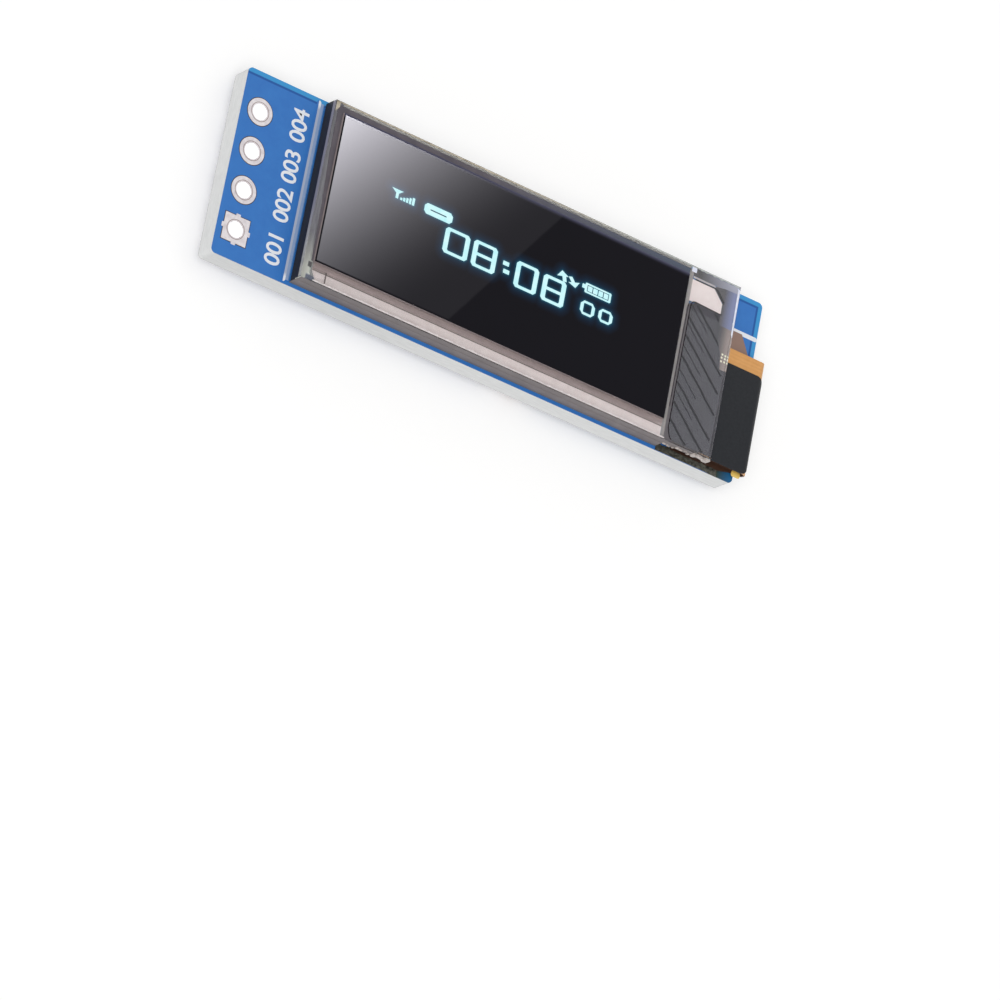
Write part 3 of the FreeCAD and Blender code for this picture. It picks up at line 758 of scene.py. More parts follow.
LEDGE_TOP = Veil("ledge_top_veil", tint("625e5f"), tint("524f51"), patches=1.4,
                 specular=0.2, zones=[(tint("b0aebe"), [(0, 13.3, 15.7)])])
# Dark grey next to the contact patch, a painted shade, turning blue grey towards the glass's right end, where
# it stands for the shaded board seen through the glass.
LEDGE_SIDE = Veil("ledge_side_veil", tint("646064"), tint("585459"), patches=1.4,
                  specular=0.2, zones=[(tint("8c92b8"), [(0, 15.2, 15.9)])])
BLUSH = Veil("ledge_blush", tint("605c61"), tint("565257"), patches=1.6,
             specular=0.2, zones=[(tint("a49490"), [(0, 15.4, 15.95)])])
TAUPE = Finish("taupe_film", tint("a89b98"), tint("968a88"), (0.4, 0.55), patches=2.0)
UMBER = Finish("umber_film", tint("605450"), tint("463c3a"), (0.4, 0.55), patches=3.0)
# Near white for the glass rim at the flex end: painted highlights.
RIM_HIGHLIGHT = Finish("painted_rim_highlight", tint("f0f2fc"), tint("d4d8ec"), patches=3.0, contrast=2.0)
RESIN_BEAD = Finish("resin_bead", tint("cec4be"), tint("847a75"), (0.18, 0.4), patches=3.0,
                    contrast=3.0, bump_patches=3.5, bump=0.03)
DARK_RESIN = Finish("dark_resin", tint("606056"), tint("22211c"), (0.3, 0.55), patches=4.5, contrast=3.4,
                    bump_patches=6.0, bump=0.03)
TAPE = Finish("black_tape", tint("26282c"), tint("1d1f23"), (0.5, 0.68), patches=6.0, bump_patches=16.0,
              bump=0.004, specular=0.2)
FOAM = Finish("foam_tape", tint("26262a"), tint("1a1a1e"), (0.85, 0.97), patches=8.0, bump_patches=12.0,
              bump=0.02)
SILICON = Finish("silicon", tint("46464c"), tint("38383e"), (0.15, 0.25), 0.5)


class Shape:
    """A mesh in the making, in millimetres."""

    def __init__(self) -> None:
        """Starts with an empty mesh."""
        self.bm = bmesh.new()

    def take(self, other: "Shape") -> None:
        """Adds another shape to this one and frees it.

        Args:
            other: the other shape.
        """
        mesh = bpy.data.meshes.new("passing")
        other.bm.to_mesh(mesh)
        other.bm.free()
        self.bm.from_mesh(mesh)
        bpy.data.meshes.remove(mesh)

    def grow(self, faces: Sequence[bmesh.types.BMFace], run: Spot) -> None:
        """Turns flat faces into a solid, by a run from them to their far side.

        Args:
            faces: the flat faces.
            run: the way to their far side.
        """
        made = bmesh.ops.extrude_face_region(self.bm, geom=faces, use_keep_orig=True)["geom"]
        far = [item for item in made if isinstance(item, bmesh.types.BMVert)]
        bmesh.ops.translate(self.bm, verts=far, vec=run)

    def soften(self, edges: Iterable[bmesh.types.BMEdge], radius: float, segments: int = 2) -> None:
        """Rounds some edges."""
        bmesh.ops.bevel(self.bm, geom=list(edges), offset=radius, offset_type="OFFSET", segments=segments,
                        profile=0.5, affect="EDGES", clamp_overlap=True, material=-1)

    def block(self, low: Sequence[float], high: Sequence[float], radius: float = 0.0,
              segments: int = 2) -> None:
        """Adds a block between two corners.

        Args:
            low: lowest corner.
            high: highest corner.
            radius: radius of its rounded edges.
            segments: facets of each rounded edge.
        """
        part = Shape()
        middle = (Vector(low) + Vector(high)) / 2
        place = Matrix.Translation(middle) @ Matrix.Diagonal((*(Vector(high) - Vector(low)), 1.0))
        bmesh.ops.create_cube(part.bm, size=1.0, matrix=place)
        if radius:
            part.soften(part.bm.edges, radius, segments)
        self.take(part)

    def plate(self, outline: Sequence[Flat], z_low: float, z_high: float, corner: float = 0.0,
              rim: float = 0.0) -> None:
        """Adds a flat plate with a polygon outline.

        Args:
            outline: its corners, in order.
            z_low: its lower level.
            z_high: its upper level.
            corner: radius of its upright edges.
            rim: radius of its upper and lower edges.
        """
        part = Shape()
        face = part.bm.faces.new([part.bm.verts.new((x, y, z_low)) for x, y in outline])
        part.grow([face], (0.0, 0.0, z_high - z_low))
        if corner:
            part.soften([edge for edge in part.bm.edges if is_upright(edge)], corner, 5)
        if rim:
            part.soften([edge for edge in part.bm.edges if not is_upright(edge)], rim, 2)
        self.take(part)

    def ribbon(self, points: Sequence[Flat], width: float, z_low: float, z_high: float) -> None:
        """Adds a flat ribbon along some points, with mitred corners.

        Args:
            points: its middle line, in order.
            width: its width.
            z_low: its lower level.
            z_high: its upper level.
        """
        sides: list[list[Flat]] = [[], []]
        for index, point in enumerate(points):
            before = Vector(points[max(index - 1, 0)])
            after = Vector(points[min(index + 1, len(points) - 1)])
            middle = Vector(point)
            runs = [run.normalized() for run in (middle - before, after - middle) if run.length > 0.0]
            normals = [Vector((-run.y, run.x)) for run in runs]
            mitre = sum(normals, Vector((0.0, 0.0))).normalized()
            reach = width / 2 / max(mitre.dot(normals[0]), 0.4)
            sides[0].append(tuple(middle + mitre * reach))
            sides[1].append(tuple(middle - mitre * reach))
        self.plate(sides[0] + sides[1][::-1], z_low, z_high)

    def hoop(self, outer: Sequence[Flat], inner: Sequence[Flat], z_low: float, z_high: float) -> None:
        """Adds a flat plate with a hole, both outlines with the same number of corners.

        Args:
            outer: its outer outline.
            inner: its inner outline.
            z_low: its lower level.
            z_high: its upper level.
        """
        part = Shape()
        rims: list[bmesh.types.BMEdge] = []
        for outline in (outer, inner):
            verts = [part.bm.verts.new((x, y, z_low)) for x, y in outline]
            rims += [part.bm.edges.new((verts[index - 1], verts[index])) for index in range(len(verts))]
        faces = bmesh.ops.bridge_loops(part.bm, edges=rims)["faces"]
        part.grow(faces, (0.0, 0.0, z_high - z_low))
        self.take(part)

    def ring(self, centre: Flat, inner: float, outer: float, z_low: float, z_high: float,
             steps: int = 28) -> None:
        """Adds a flat ring, spun out of its cross-section.

        Args:
            centre: its middle.
            inner: its inner radius.
            outer: its outer radius.
            z_low: its lower level.
            z_high: its upper level.
            steps: how many steps go round it.
        """
        part = Shape()
        section = ((inner, z_low), (outer, z_low), (outer, z_high), (inner, z_high))
        verts = [part.bm.verts.new((centre[0] + reach, centre[1], level)) for reach, level in section]
        edges = [part.bm.edges.new((verts[index - 1], verts[index])) for index in range(4)]
        bmesh.ops.spin(part.bm, geom=verts + edges, cent=(centre[0], centre[1], 0.0), axis=(0.0, 0.0, 1.0),
                       dvec=(0.0, 0.0, 0.0), angle=math.tau, steps=steps, use_merge=True,
                       use_normal_flip=False, use_duplicate=False)
        self.take(part)

    def disc(self, centre: Flat, radius: float, z_low: float, z_high: float, segments: int = 24) -> None:
        """Adds a round flat disc."""
        place = Matrix.Translation((centre[0], centre[1], (z_low + z_high) / 2))
        bmesh.ops.create_cone(self.bm, cap_ends=True, segments=segments, radius1=radius, radius2=radius,
                              depth=z_high - z_low, matrix=place)

    def jagged(self, start: float, end: float, inner: float, outer: float, levels: Flat, rough: float,
               seed: int) -> None:
        """Adds a strip along X whose inner edge runs unevenly.

        Args:
            start: its lowest X.
            end: its highest X.
            inner: Y of its uneven edge.
            outer: Y of its straight edge.
            levels: its lower and upper levels.
            rough: how far the uneven edge strays.
            seed: what its unevenness is drawn from.
        """
        chance = random.Random(seed)
        count = max(int((end - start) / 0.12), 2)
        edge = [(start + (end - start) * step / count, inner + chance.uniform(-rough, rough))
                for step in range(count + 1)]
        self.plate(edge + [(end, outer), (start, outer)], *levels)

    def unsettle(self, reach: float, seed: int) -> None:
        """Moves each vertex a little, by a seeded amount."""
        chance = random.Random(seed)
        for vert in self.bm.verts:
            vert.co += Vector([chance.uniform(-reach, reach) for _ in range(3)])

    def object(self, name: str, sharp: float = 38.0, flat_above: float = 0.2) -> Piece:
        """Finishes the mesh and makes its object, in metres.

        Args:
            name: the piece's name.
            sharp: the angle in degrees past which an edge stays hard.
            flat_above: the area in square millimetres past which a face is shaded flat.

        Returns:
            The object, not yet in the scene.
        """
        bmesh.ops.recalc_face_normals(self.bm, faces=self.bm.faces)
        bmesh.ops.scale(self.bm, vec=(MM, MM, MM), verts=self.bm.verts)
        mesh = bpy.data.meshes.new(name)
        self.bm.to_mesh(mesh)
        self.bm.free()
        small = [polygon.area < flat_above * MM ** 2 for polygon in mesh.polygons]
        mesh.polygons.foreach_set("use_smooth", small)
        mesh.set_sharp_from_angle(angle=math.radians(sharp))
        return bpy.data.objects.new(name, mesh)


def cut_corners(low: Flat, high: Flat, cut: float) -> list[Flat]:
    """Gives the outline of a rectangle with its four corners cut off."""
    (left, bottom), (right, top) = low, high
    return [(left + cut, bottom), (right - cut, bottom), (right, bottom + cut), (right, top - cut),
            (right - cut, top), (left + cut, top), (left, top - cut), (left, bottom + cut)]


def is_upright(edge: bmesh.types.BMEdge) -> bool:
    """Says whether an edge stands along Z."""
    run = edge.verts[1].co - edge.verts[0].co
    return abs(run.z) > 0.9 * run.length


@dataclass(frozen=True)
class Trim:
    """A thin flat piece of print, film, line or veil, laid out as a table of its parts."""

    name: str
    finish: Finish
    slot: str
    blocks: Sequence[tuple[Spot, Spot]] = ()
    plates: Sequence[tuple[Sequence[Flat], Flat]] = ()
    ribbons: Sequence[tuple[Sequence[Flat], float, Flat]] = ()
    strips: Sequence[tuple[float, float, float, float, Flat, float, int]] = ()

    def piece(self) -> Piece:
        """Makes the piece out of its blocks, plates, ribbons and uneven strips.

        Returns:
            The piece, not yet in the scene.
        """
        shape = Shape()
        for low, high in self.blocks:
            shape.block(low, high)
        for outline, levels in self.plates:
            shape.plate(outline, *levels)
        for points, width, levels in self.ribbons:
            shape.ribbon(points, width, *levels)
        for strip in self.strips:
            shape.jagged(*strip)
        return shape.object(self.name)


class Bench:
    """Where finished pieces join the module, get their material and are written down."""

    def __init__(self, nodes: dict[str, Piece]) -> None:
        """Keeps the CAD nodes at hand."""
        self.nodes = nodes
        self.materials: dict[str, bpy.types.Material] = {}

    def material(self, finish: Finish) -> bpy.types.Material:
        """Gives a finish's material, made the first time it is asked for."""
        if finish.name not in self.materials:
            self.materials[finish.name] = painted(finish.name, finish.surface)
        return self.materials[finish.name]

    def dress(self, finish: Finish, *names: str) -> None:
        """Gives CAD nodes a finish."""
        for name in names:
            for slot in self.nodes[name].material_slots:
                slot.material = self.material(finish)
            log.info("%s: CAD node in %s", name, finish.name)

    def fit(self, piece: Piece, finish: Finish, slot: str, *replaced: str) -> None:
        """Puts a finished piece on the module.

        Args:
            piece: the piece.
            finish: its finish.
            slot: the record's material slot; not used.
            replaced: the CAD nodes that it stands for.
        """
        bpy.context.scene.collection.objects.link(piece)
        piece.data.materials.append(self.material(finish))
        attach(piece, "root")
        if replaced:
            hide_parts(*replaced)
        log.info("%s: %d faces in %s", piece.name, len(piece.data.polygons), finish.name)

    def trim(self, *trims: Trim) -> None:
        """Makes flat pieces and puts them on the module, in order."""
        for trim in trims:
            self.fit(trim.piece(), trim.finish, trim.slot)


def lettering(text: str, height: float, centre: Spot, reading: Spot, up: Spot, depth: float) -> Shape:
    """Makes plain raised digits.

    Args:
        text: the digits.
        height: their height.
        centre: the middle of their outer face.
        reading: the direction in which they read.
        up: the direction of their tops.
        depth: how thick they are.

    Returns:
        The digits as one shape.
    """
    curve = bpy.data.curves.new("passing", "FONT")
    curve.body = text
    curve.size = height * 1.5
    curve.extrude = depth / 2
    curve.offset = height * 0.02
    curve.space_character = 0.94
    curve.resolution_u = 4
    holder = bpy.data.objects.new("passing", curve)
    mesh = bpy.data.meshes.new_from_object(holder)
    shape = Shape()
    shape.bm.from_mesh(mesh)
    bpy.data.objects.remove(holder)
    bpy.data.curves.remove(curve)
    bpy.data.meshes.remove(mesh)
    bmesh.ops.remove_doubles(shape.bm, verts=shape.bm.verts, dist=1e-5)
    spots = [vert.co for vert in shape.bm.verts]
    middle_x = (min(spot.x for spot in spots) + max(spot.x for spot in spots)) / 2
    middle_y = (min(spot.y for spot in spots) + max(spot.y for spot in spots)) / 2
    normal = Vector(reading).cross(Vector(up))
    turn = Matrix((Vector(reading), Vector(up), normal)).transposed().to_4x4()
    place = Matrix.Translation(Vector(centre) - normal * depth / 2) @ turn
    bmesh.ops.translate(shape.bm, verts=shape.bm.verts, vec=(-middle_x, -middle_y, 0.0))
    bmesh.ops.transform(shape.bm, matrix=place, verts=shape.bm.verts)
    return shape


@dataclass
class CircuitBoard:
    """The blue board: its lacquer, print, pads, plated holes and the copper that shows through."""

    front_level: float = 2.595
    back_level: float = 1.135
    ink: float = 0.02
    track_rise: float = 0.004
    track_width: float = 0.2
    digit_height: float = 1.0
    bar_x: Flat = (-14.126, -13.935)
    # Span of the pale line that is a painted highlight.
    highlight_x: Flat = (-13.915, -13.882)
    bar_reach: float = 5.72
    spoke_width: float = 0.3
    spoke_length: float = 0.13
    groove_radius: float = 0.58
    groove_width: float = 0.035
    pin_labels: Sequence[tuple[str, Flat]] = (("001", (-15.265, -4.3)), ("002", (-15.265, -1.4)),
                                              ("003", (-15.265, 1.1)), ("004", (-15.265, 3.8)))
    left_labels: Sequence[float] = (-3.14, -1.65, -0.34, 1.32, 2.78)
    right_labels: Sequence[float] = (-4.87, -3.37, -2.0, -0.52, 0.76, 2.13, 3.59, 5.02)
    left_label_x: float = -6.175
    right_label_x: float = 0.825
    tracks: Sequence[Sequence[Flat]] = (
        ((-16.3, -5.42), (-9.29, -5.72), (-8.78, -5.6), (-0.94, -5.48), (0.41, -4.4)),
        ((-16.42, 0.9), (-10.88, 0.91), (-10.45, 1.03)),
        ((-16.41, 3.75), (-9.71, 3.45), (-5.5, 3.45)),
        ((-16.31, 4.22), (-3.77, 4.09), (-3.28, 3.7)),
        ((5.57, -5.13), (6.21, -5.61), (8.5, -5.58)),
        ((5.6, -3.71), (5.9, -4.21), (8.3, -4.22)),
        ((5.6, 0.75), (6.04, 1.34), (8.15, 1.44)),
        ((5.6, 2.12), (7.3, 2.11)),
        ((5.6, 3.41), (7.83, 3.45), (8.28, 2.93)))
    gaps: Sequence[Sequence[Flat]] = (
        ((-16.39, -3.0), (-15.22, -3.06), (-14.31, -4.05), (-9.96, -4.06), (-9.75, -3.75)),
        ((-9.75, -4.3), (-9.72, -4.95), (-9.2, -5.5)),
        ((-0.9, -0.62), (-0.05, -0.68)),
        ((-8.6, 3.95), (-4.1, 3.86), (-3.6, 3.5)))
    pour: Sequence[Flat] = ((5.5, -2.96), (7.5, -2.95), (7.9, -2.75), (8.5, -2.75), (9.2, -3.06),
                            (9.46, -2.7), (9.3, -1.6), (9.46, -0.85), (9.1, -0.6), (8.5, -1.05),
                            (7.94, -0.75), (5.5, -0.75))
    zone: Sequence[Flat] = ((-16.4, 0.2), (-11.38, 0.14), (-11.0, 0.42), (-9.78, 0.48), (-9.55, 3.11),
                            (-16.3, 3.55))
    vias: Sequence[Spot] = (
        (-10.29, 1.03, 0.2), (-1.31, -3.42, 0.16), (-1.46, 1.11, 0.16), (-1.6, 2.68, 0.16),
        (-7.5, -0.47, 0.16), (7.88, -4.89, 0.16), (8.64, -5.51, 0.16), (7.72, -3.59, 0.16),
        (8.46, -4.15, 0.16), (8.24, -3.03, 0.12), (8.44, -1.71, 0.24), (7.46, -1.13, 0.12),
        (8.42, -0.38, 0.16), (8.29, 1.51, 0.16), (7.48, 2.11, 0.16), (8.32, 2.78, 0.16))

    def build(self, bench: Bench) -> None:
        """Builds the labels and the copper under the lacquer.

        Args:
            bench: where the pieces are put on the module.
        """
        bench.fit(self.pin_numbers(), WHITE_INK, "ink")
        bench.trim(*self.print_lines())
        bench.fit(self.cell_floors(), NAVY_LACQUER, "mask")
        bench.fit(self.part_numbers(), WHITE_INK, "ink")
        bench.trim(*self.copper())
        bench.fit(self.via_rings(), TRACK_LACQUER, "mask")
        bench.fit(self.via_glints(), VIA_GLINT, "mask")
        bench.fit(self.land_spokes(), TIN, "tin")
        bench.fit(self.land_grooves(), LAND_GROOVE, "tin")

    def pin_numbers(self) -> Piece:
        """Prints a plain number beside each header hole.

        Returns:
            The piece, not yet in the scene.
        """
        shape = Shape()
        for text, (x, y) in self.pin_labels:
            shape.take(lettering(text, self.digit_height, (x, y, self.front_level + self.ink),
                                 (0.0, 1.0, 0.0), (-1.0, 0.0, 0.0), self.ink))
        return shape.object("pin_numbers")

    def part_numbers(self) -> Piece:
        """Prints a plain number beside each part on the back.

        Returns:
            The piece, not yet in the scene.
        """
        shape = Shape()
        level = self.back_level - self.ink
        rows = [("1%d" % (index + 1), (self.left_label_x, y)) for index, y in enumerate(self.left_labels)]
        rows += [("2%d" % (index + 1), (self.right_label_x, y)) for index, y in enumerate(self.right_labels)]
        for text, (x, y) in rows:
            shape.take(lettering(text, self.digit_height, (x, y, level), (-1.0, 0.0, 0.0),
                                 (0.0, 1.0, 0.0), self.ink))
        shape.take(lettering("10", self.digit_height, (-11.825, -2.72, level), (0.0, -1.0, 0.0),
                             (-1.0, 0.0, 0.0), self.ink))
        return shape.object("part_numbers")

    def print_lines(self) -> list[Trim]:
        """Lays out the wide bar beside the glass, grey blue as painted shade on white print, and the thin
        pale line between it and the glass, a painted highlight.

        Returns:
            The bar and the line.
        """
        rows = (("print_bar", SHADED_INK, self.bar_x, self.ink),
                ("print_line", PAINTED_HIGHLIGHT_LINE, self.highlight_x, self.ink / 2))
        return [Trim(name, finish, "ink", blocks=[((left, -self.bar_reach, self.front_level),
                                                   (right, self.bar_reach, self.front_level + rise))])
                for name, finish, (left, right), rise in rows]

    def cell_floors(self) -> Piece:
        """Darkens the lacquer round the pads inside the printed frames and under the regulator.

        Returns:
            The piece, not yet in the scene.
        """
        shape = Shape()
        levels = (self.back_level - 0.003, self.back_level)
        for name in SolderJoints.chips:
            low, high = box_mm(name + ("_body" if name == "diode" else "_ends"))
            x, y = (low.x + high.x) / 2 - 0.25, (low.y + high.y) / 2
            shape.plate(cut_corners((x - 1.55, y - 0.56), (x + 1.55, y + 0.56), 0.08), *levels)
        low, high = box_mm("regulator_leads")
        middle = (low + high) / 2
        for side, shift in ((-1, 0.0), (1, -0.95), (1, 0.95)):
            x, y = middle.x + side * 1.6, middle.y + shift
            shape.plate(cut_corners((x - 0.72, y - 0.5), (x + 0.72, y + 0.5), 0.2), *levels)
        return shape.object("cell_floors")

    def copper(self) -> tuple[Trim, ...]:
        """Lays out the tracks, the gaps and the small copper area that show through the back's lacquer.

        Returns:
            The three pieces.
        """
        raised = (self.back_level - self.track_rise, self.back_level)
        low = (self.back_level - self.track_rise / 2, self.back_level)
        tracks, gaps = ([(points, self.track_width, raised) for points in runs]
                        for runs in (self.tracks, self.gaps))
        return (Trim("copper_tracks", TRACK_LACQUER, "mask", ribbons=tracks),
                Trim("copper_gaps", BARE_LACQUER, "mask", ribbons=gaps, plates=[(self.zone, low)]),
                Trim("copper_pour", BACK_LACQUER_PLAIN, "mask", plates=[(self.pour, low)]))

    def via_glints(self) -> Piece:
        """Raises the lacquer plug in the middle of each small covered hole.

        Returns:
            The piece, not yet in the scene.
        """
        shape = Shape()
        for x, y, radius in self.vias:
            # The plugs take a pale finish that is a painted glint.
            shape.disc((x, y), radius * 0.35, self.back_level - self.track_rise * 2.5, self.back_level, 12)
        return shape.object("via_plugs_painted_glint")

    def land_spokes(self) -> Piece:
        """Adds the four short spokes that join the square land to the copper, on both faces.

        Returns:
            The piece, not yet in the scene.
        """
        shape = Shape()
        low, high = box_mm("plated_hole_1")
        middle = (low + high) / 2
        reach = (high.x - low.x) / 2
        for z_low, z_high in ((low.z - 0.008, low.z + 0.02), (high.z - 0.02, high.z + 0.008)):
            for turn in range(4):
                along = Vector((math.cos(turn * math.pi / 2), math.sin(turn * math.pi / 2)))
                across = Vector((-along.y, along.x)) * self.spoke_width / 2
                inner = Vector((middle.x, middle.y)) + along * (reach - 0.1)
                outer = Vector((middle.x, middle.y)) + along * (reach + self.spoke_length)
                outline = [tuple(corner) for corner in (inner - across, outer - across, outer + across,
                                                        inner + across)]
                shape.plate(outline, z_low, z_high, 0.03)
        return shape.object("land_spokes")

    def land_grooves(self) -> Piece:
        """Draws the dull line round each hole, on both faces.

        Returns:
            The piece, not yet in the scene.
        """
        shape = Shape()
        for pin in range(1, 5):
            low, high = box_mm("plated_hole_%d" % pin)
            middle = (low + high) / 2
            for z_low, z_high in ((low.z - 0.002, low.z + 0.002), (high.z - 0.002, high.z + 0.002)):
                shape.ring((middle.x, middle.y), self.groove_radius, self.groove_radius + self.groove_width,
                           z_low, z_high, 36)
        return shape.object("land_grooves")

    def via_rings(self) -> Piece:
        """Raises the ring of each small covered hole on the back.

        Returns:
            The piece, not yet in the scene.
        """
        shape = Shape()
        for x, y, radius in self.vias:
            top = self.back_level - self.track_rise * 1.5
            shape.ring((x, y), radius * 0.45, radius, top, self.back_level)
        return shape.object("via_rings")


class Coat(Enum):
    """Ceramic of a chip capacitor."""

    OLIVE = "olive"
    ORANGE = "orange"
    TAN = "tan"


CERAMICS = {Coat.OLIVE: OLIVE, Coat.ORANGE: ORANGE, Coat.TAN: TAN}


@dataclass
class Chips:
    """The chip capacitors and resistors, with their tinned end caps."""

    coats: Sequence[Coat] = (Coat.OLIVE, Coat.ORANGE, Coat.ORANGE, Coat.TAN, Coat.OLIVE, Coat.TAN, Coat.OLIVE,
                             Coat.TAN)
    resistors: int = 4
    end_length: float = 0.36
    end_radius: float = 0.07
    body_radius: float = 0.035
    code_height: float = 0.5
    code: str = "103"

    def build(self, bench: Bench) -> None:
        """Builds every chip, one body and one pair of ends at a time.

        Args:
            bench: where the pieces are put on the module.
        """
        for index, coat in enumerate(self.coats):
            name = "capacitor_%d" % (index + 1)
            bench.fit(self.body(name), CERAMICS[coat], "ceramic_" + coat.value, name + "_body")
            bench.fit(self.ends(name, index), TIN, "tin", name + "_ends")
        for index in range(self.resistors):
            name = "resistor_%d" % (index + 1)
            bench.fit(self.body(name), RESISTOR, "resistor_coat", name + "_body")
            bench.fit(self.ends(name, index + 20), TIN, "tin", name + "_ends")
        bench.fit(self.codes(), WHITE_INK, "ink")

    def body(self, name: str) -> Piece:
        """Makes a chip's ceramic block.

        Args:
            name: the chip's name.

        Returns:
            The piece, not yet in the scene.
        """
        low, high = box_mm(name + "_body")
        inset = Vector((self.end_length - 0.06, 0.0, 0.0))
        shape = Shape()
        shape.block(low + inset, high - inset, self.body_radius, 3)
        return shape.object(name + "_block")

    def ends(self, name: str, seed: int) -> Piece:
        """Makes a chip's pair of end caps, with soft corners and an uneven inner rim.

        Args:
            name: the chip's name.
            seed: what its unevenness is drawn from.

        Returns:
            The piece, not yet in the scene.
        """
        low, high = box_mm(name + "_ends")
        shape = Shape()
        for side in (0, 1):
            part = Shape()
            left = low.x if side == 0 else high.x - self.end_length
            part.block((left, low.y, low.z), (left + self.end_length, high.y, high.z), self.end_radius, 3)
            bmesh.ops.subdivide_edges(part.bm, edges=part.bm.edges[:], cuts=1, use_grid_fill=True)
            inner = left + self.end_length if side == 0 else left
            chance = random.Random(seed * 2 + side)
            for vert in part.bm.verts:
                if abs(vert.co.x - inner) < self.end_radius:
                    vert.co.x += chance.uniform(-0.022, 0.022)
            bmesh.ops.smooth_vert(part.bm, verts=part.bm.verts, factor=0.3, use_axis_x=True, use_axis_y=True,
                                  use_axis_z=True)
            shape.take(part)
        return shape.object(name + "_caps", 60.0)

    def codes(self) -> Piece:
        """Prints the plain value code on each resistor.

        Returns:
            The piece, not yet in the scene.
        """
        shape = Shape()
        for index in range(self.resistors):
            low, high = box_mm("resistor_%d_body" % (index + 1))
            middle = (low + high) / 2
            shape.take(lettering(self.code, self.code_height, (middle.x, middle.y, low.z - 0.004),
                                 (1.0, 0.0, 0.0), (0.0, -1.0, 0.0), 0.006))
        return shape.object("resistor_codes")


@dataclass
class Moulded:
    """The regulator and the diode: moulded bodies with bent or flat leads."""

    draft: float = 0.08
    radius: float = 0.04

    def build(self, bench: Bench) -> None:
        """Builds both bodies."""
        for name in ("regulator", "diode"):
            bench.fit(self.body(name + "_body", name + "_moulding"), MOULDING, "moulding", name + "_body")

    def body(self, node: str, name: str) -> Piece:
        """Makes a body whose sides lean in both ways from its parting line.

        Args:
            node: the CAD node that it stands for.
            name: the piece's name.

        Returns:
            The piece.
        """
        low, high = box_mm(node)
        middle = (low + high) / 2
        shape = Shape()
        size = high - low
        shape.block(low, high)
        bmesh.ops.bisect_plane(shape.bm, geom=shape.bm.verts[:] + shape.bm.edges[:] + shape.bm.faces[:],
                               plane_co=middle, plane_no=(0.0, 0.0, 1.0))
        for vert in shape.bm.verts:
            if abs(vert.co.z - middle.z) > size.z / 4:
                vert.co.x -= math.copysign(self.draft, vert.co.x - middle.x)
                vert.co.y -= math.copysign(self.draft, vert.co.y - middle.y)
        shape.soften([edge for edge in shape.bm.edges if abs(edge.verts[0].co.z + edge.verts[1].co.z
                                                             - 2 * middle.z) > size.z / 4], self.radius, 3)
        return shape.object(name)


@dataclass
class SolderJoints:
    """Solder at every end of every part on the back, each with a hollow lumpy fillet."""

    chips: Sequence[str] = ("capacitor_1", "diode", "resistor_1", "resistor_2", "resistor_3", "capacitor_2",
                            "capacitor_3", "capacitor_4", "capacitor_5", "resistor_4", "capacitor_6",
                            "capacitor_7", "capacitor_8")
    pad_level: float = 1.13
    pad_reach: float = 1.35
    chip_offset: float = 0.25
    half_chip: float = 0.8
    rise: float = 0.42
    flat_rise: float = 0.16
    width: float = 0.8
    foot_reach: float = 2.1
    foot_half: float = 1.2
    foot_width: float = 0.65
    foot_rise: float = 0.24
    hollow: Sequence[Flat] = ((0.0, 1.0), (0.18, 0.62), (0.42, 0.34), (0.7, 0.16), (1.0, 0.06))

    def build(self, bench: Bench) -> None:
        """Builds all the joints as one piece, which stands for the CAD joints.

        Args:
            bench: where the pieces are put on the module.
        """
        shape = Shape()
        seed = 0
        for name in self.chips:
            low, high = box_mm(name + ("_body" if name == "diode" else "_ends"))
            middle = (low + high) / 2
            rise = self.flat_rise if name == "diode" else self.rise
            for side in (-1, 1):
                face = middle.x + side * (self.half_chip - 0.03)
                edge = middle.x - self.chip_offset + side * self.pad_reach
                shape.take(self.joint(face, edge, middle.y, self.width, rise, seed))
                seed += 1
        low, high = box_mm("regulator_leads")
        middle = (low + high) / 2
        for side, shift in ((-1, 0.0), (1, -0.95), (1, 0.95)):
            face = middle.x + side * (self.foot_half - 0.25)
            edge = middle.x + side * self.foot_reach
            shape.take(self.joint(face, edge, middle.y + shift, self.foot_width, self.foot_rise, seed))
            seed += 1
        bench.fit(shape.object("solder_joints", 80.0), SOLDER, "solder", "chip_solder")

    def joint(self, face: float, edge: float, y: float, width: float, rise: float, seed: int) -> Shape:
        """Makes one joint, from the part's end face out to the pad's edge.

        Args:
            face: X of the end face.
            edge: X of the solder's outer edge.
            y: its middle across the board.
            width: its width.
            rise: how far it climbs the face, away from the board.
            seed: what its unevenness is drawn from.

        Returns:
            The joint.
        """
        shape = Shape()
        outline = [(face + (edge - face) * share, self.pad_level - rise * lift)
                   for share, lift in self.hollow]
        outline += [(edge, self.pad_level), (face, self.pad_level)]
        start = y - width / 2
        section = shape.bm.faces.new([shape.bm.verts.new((x, start, z)) for x, z in outline])
        shape.grow([section], (0.0, width, 0.0))
        across = [item for item in shape.bm.edges if abs(item.verts[0].co.y - item.verts[1].co.y) > width / 2]
        bmesh.ops.subdivide_edges(shape.bm, edges=across, cuts=5)
        chance = random.Random(seed)
        for vert in sorted(shape.bm.verts, key=lambda vert: [round(value, 4) for value in vert.co]):
            off = abs(vert.co.y - y) / (width / 2)
            lift = self.pad_level - vert.co.z
            vert.co.z = self.pad_level - lift * (1.0 - 0.55 * off ** 3) * (1.0 + chance.uniform(-0.08, 0.08))
            share = abs(vert.co.x - face) / abs(edge - face)
            vert.co.y = y + (vert.co.y - y) * (1.0 - 0.16 * share ** 2)
            vert.co.x -= (edge - face) * 0.12 * off ** 4 * share
        return shape


class Glyph(Enum):
    """Large digits that the screen can show."""

    ZERO = "zero"
    EIGHT = "eight"


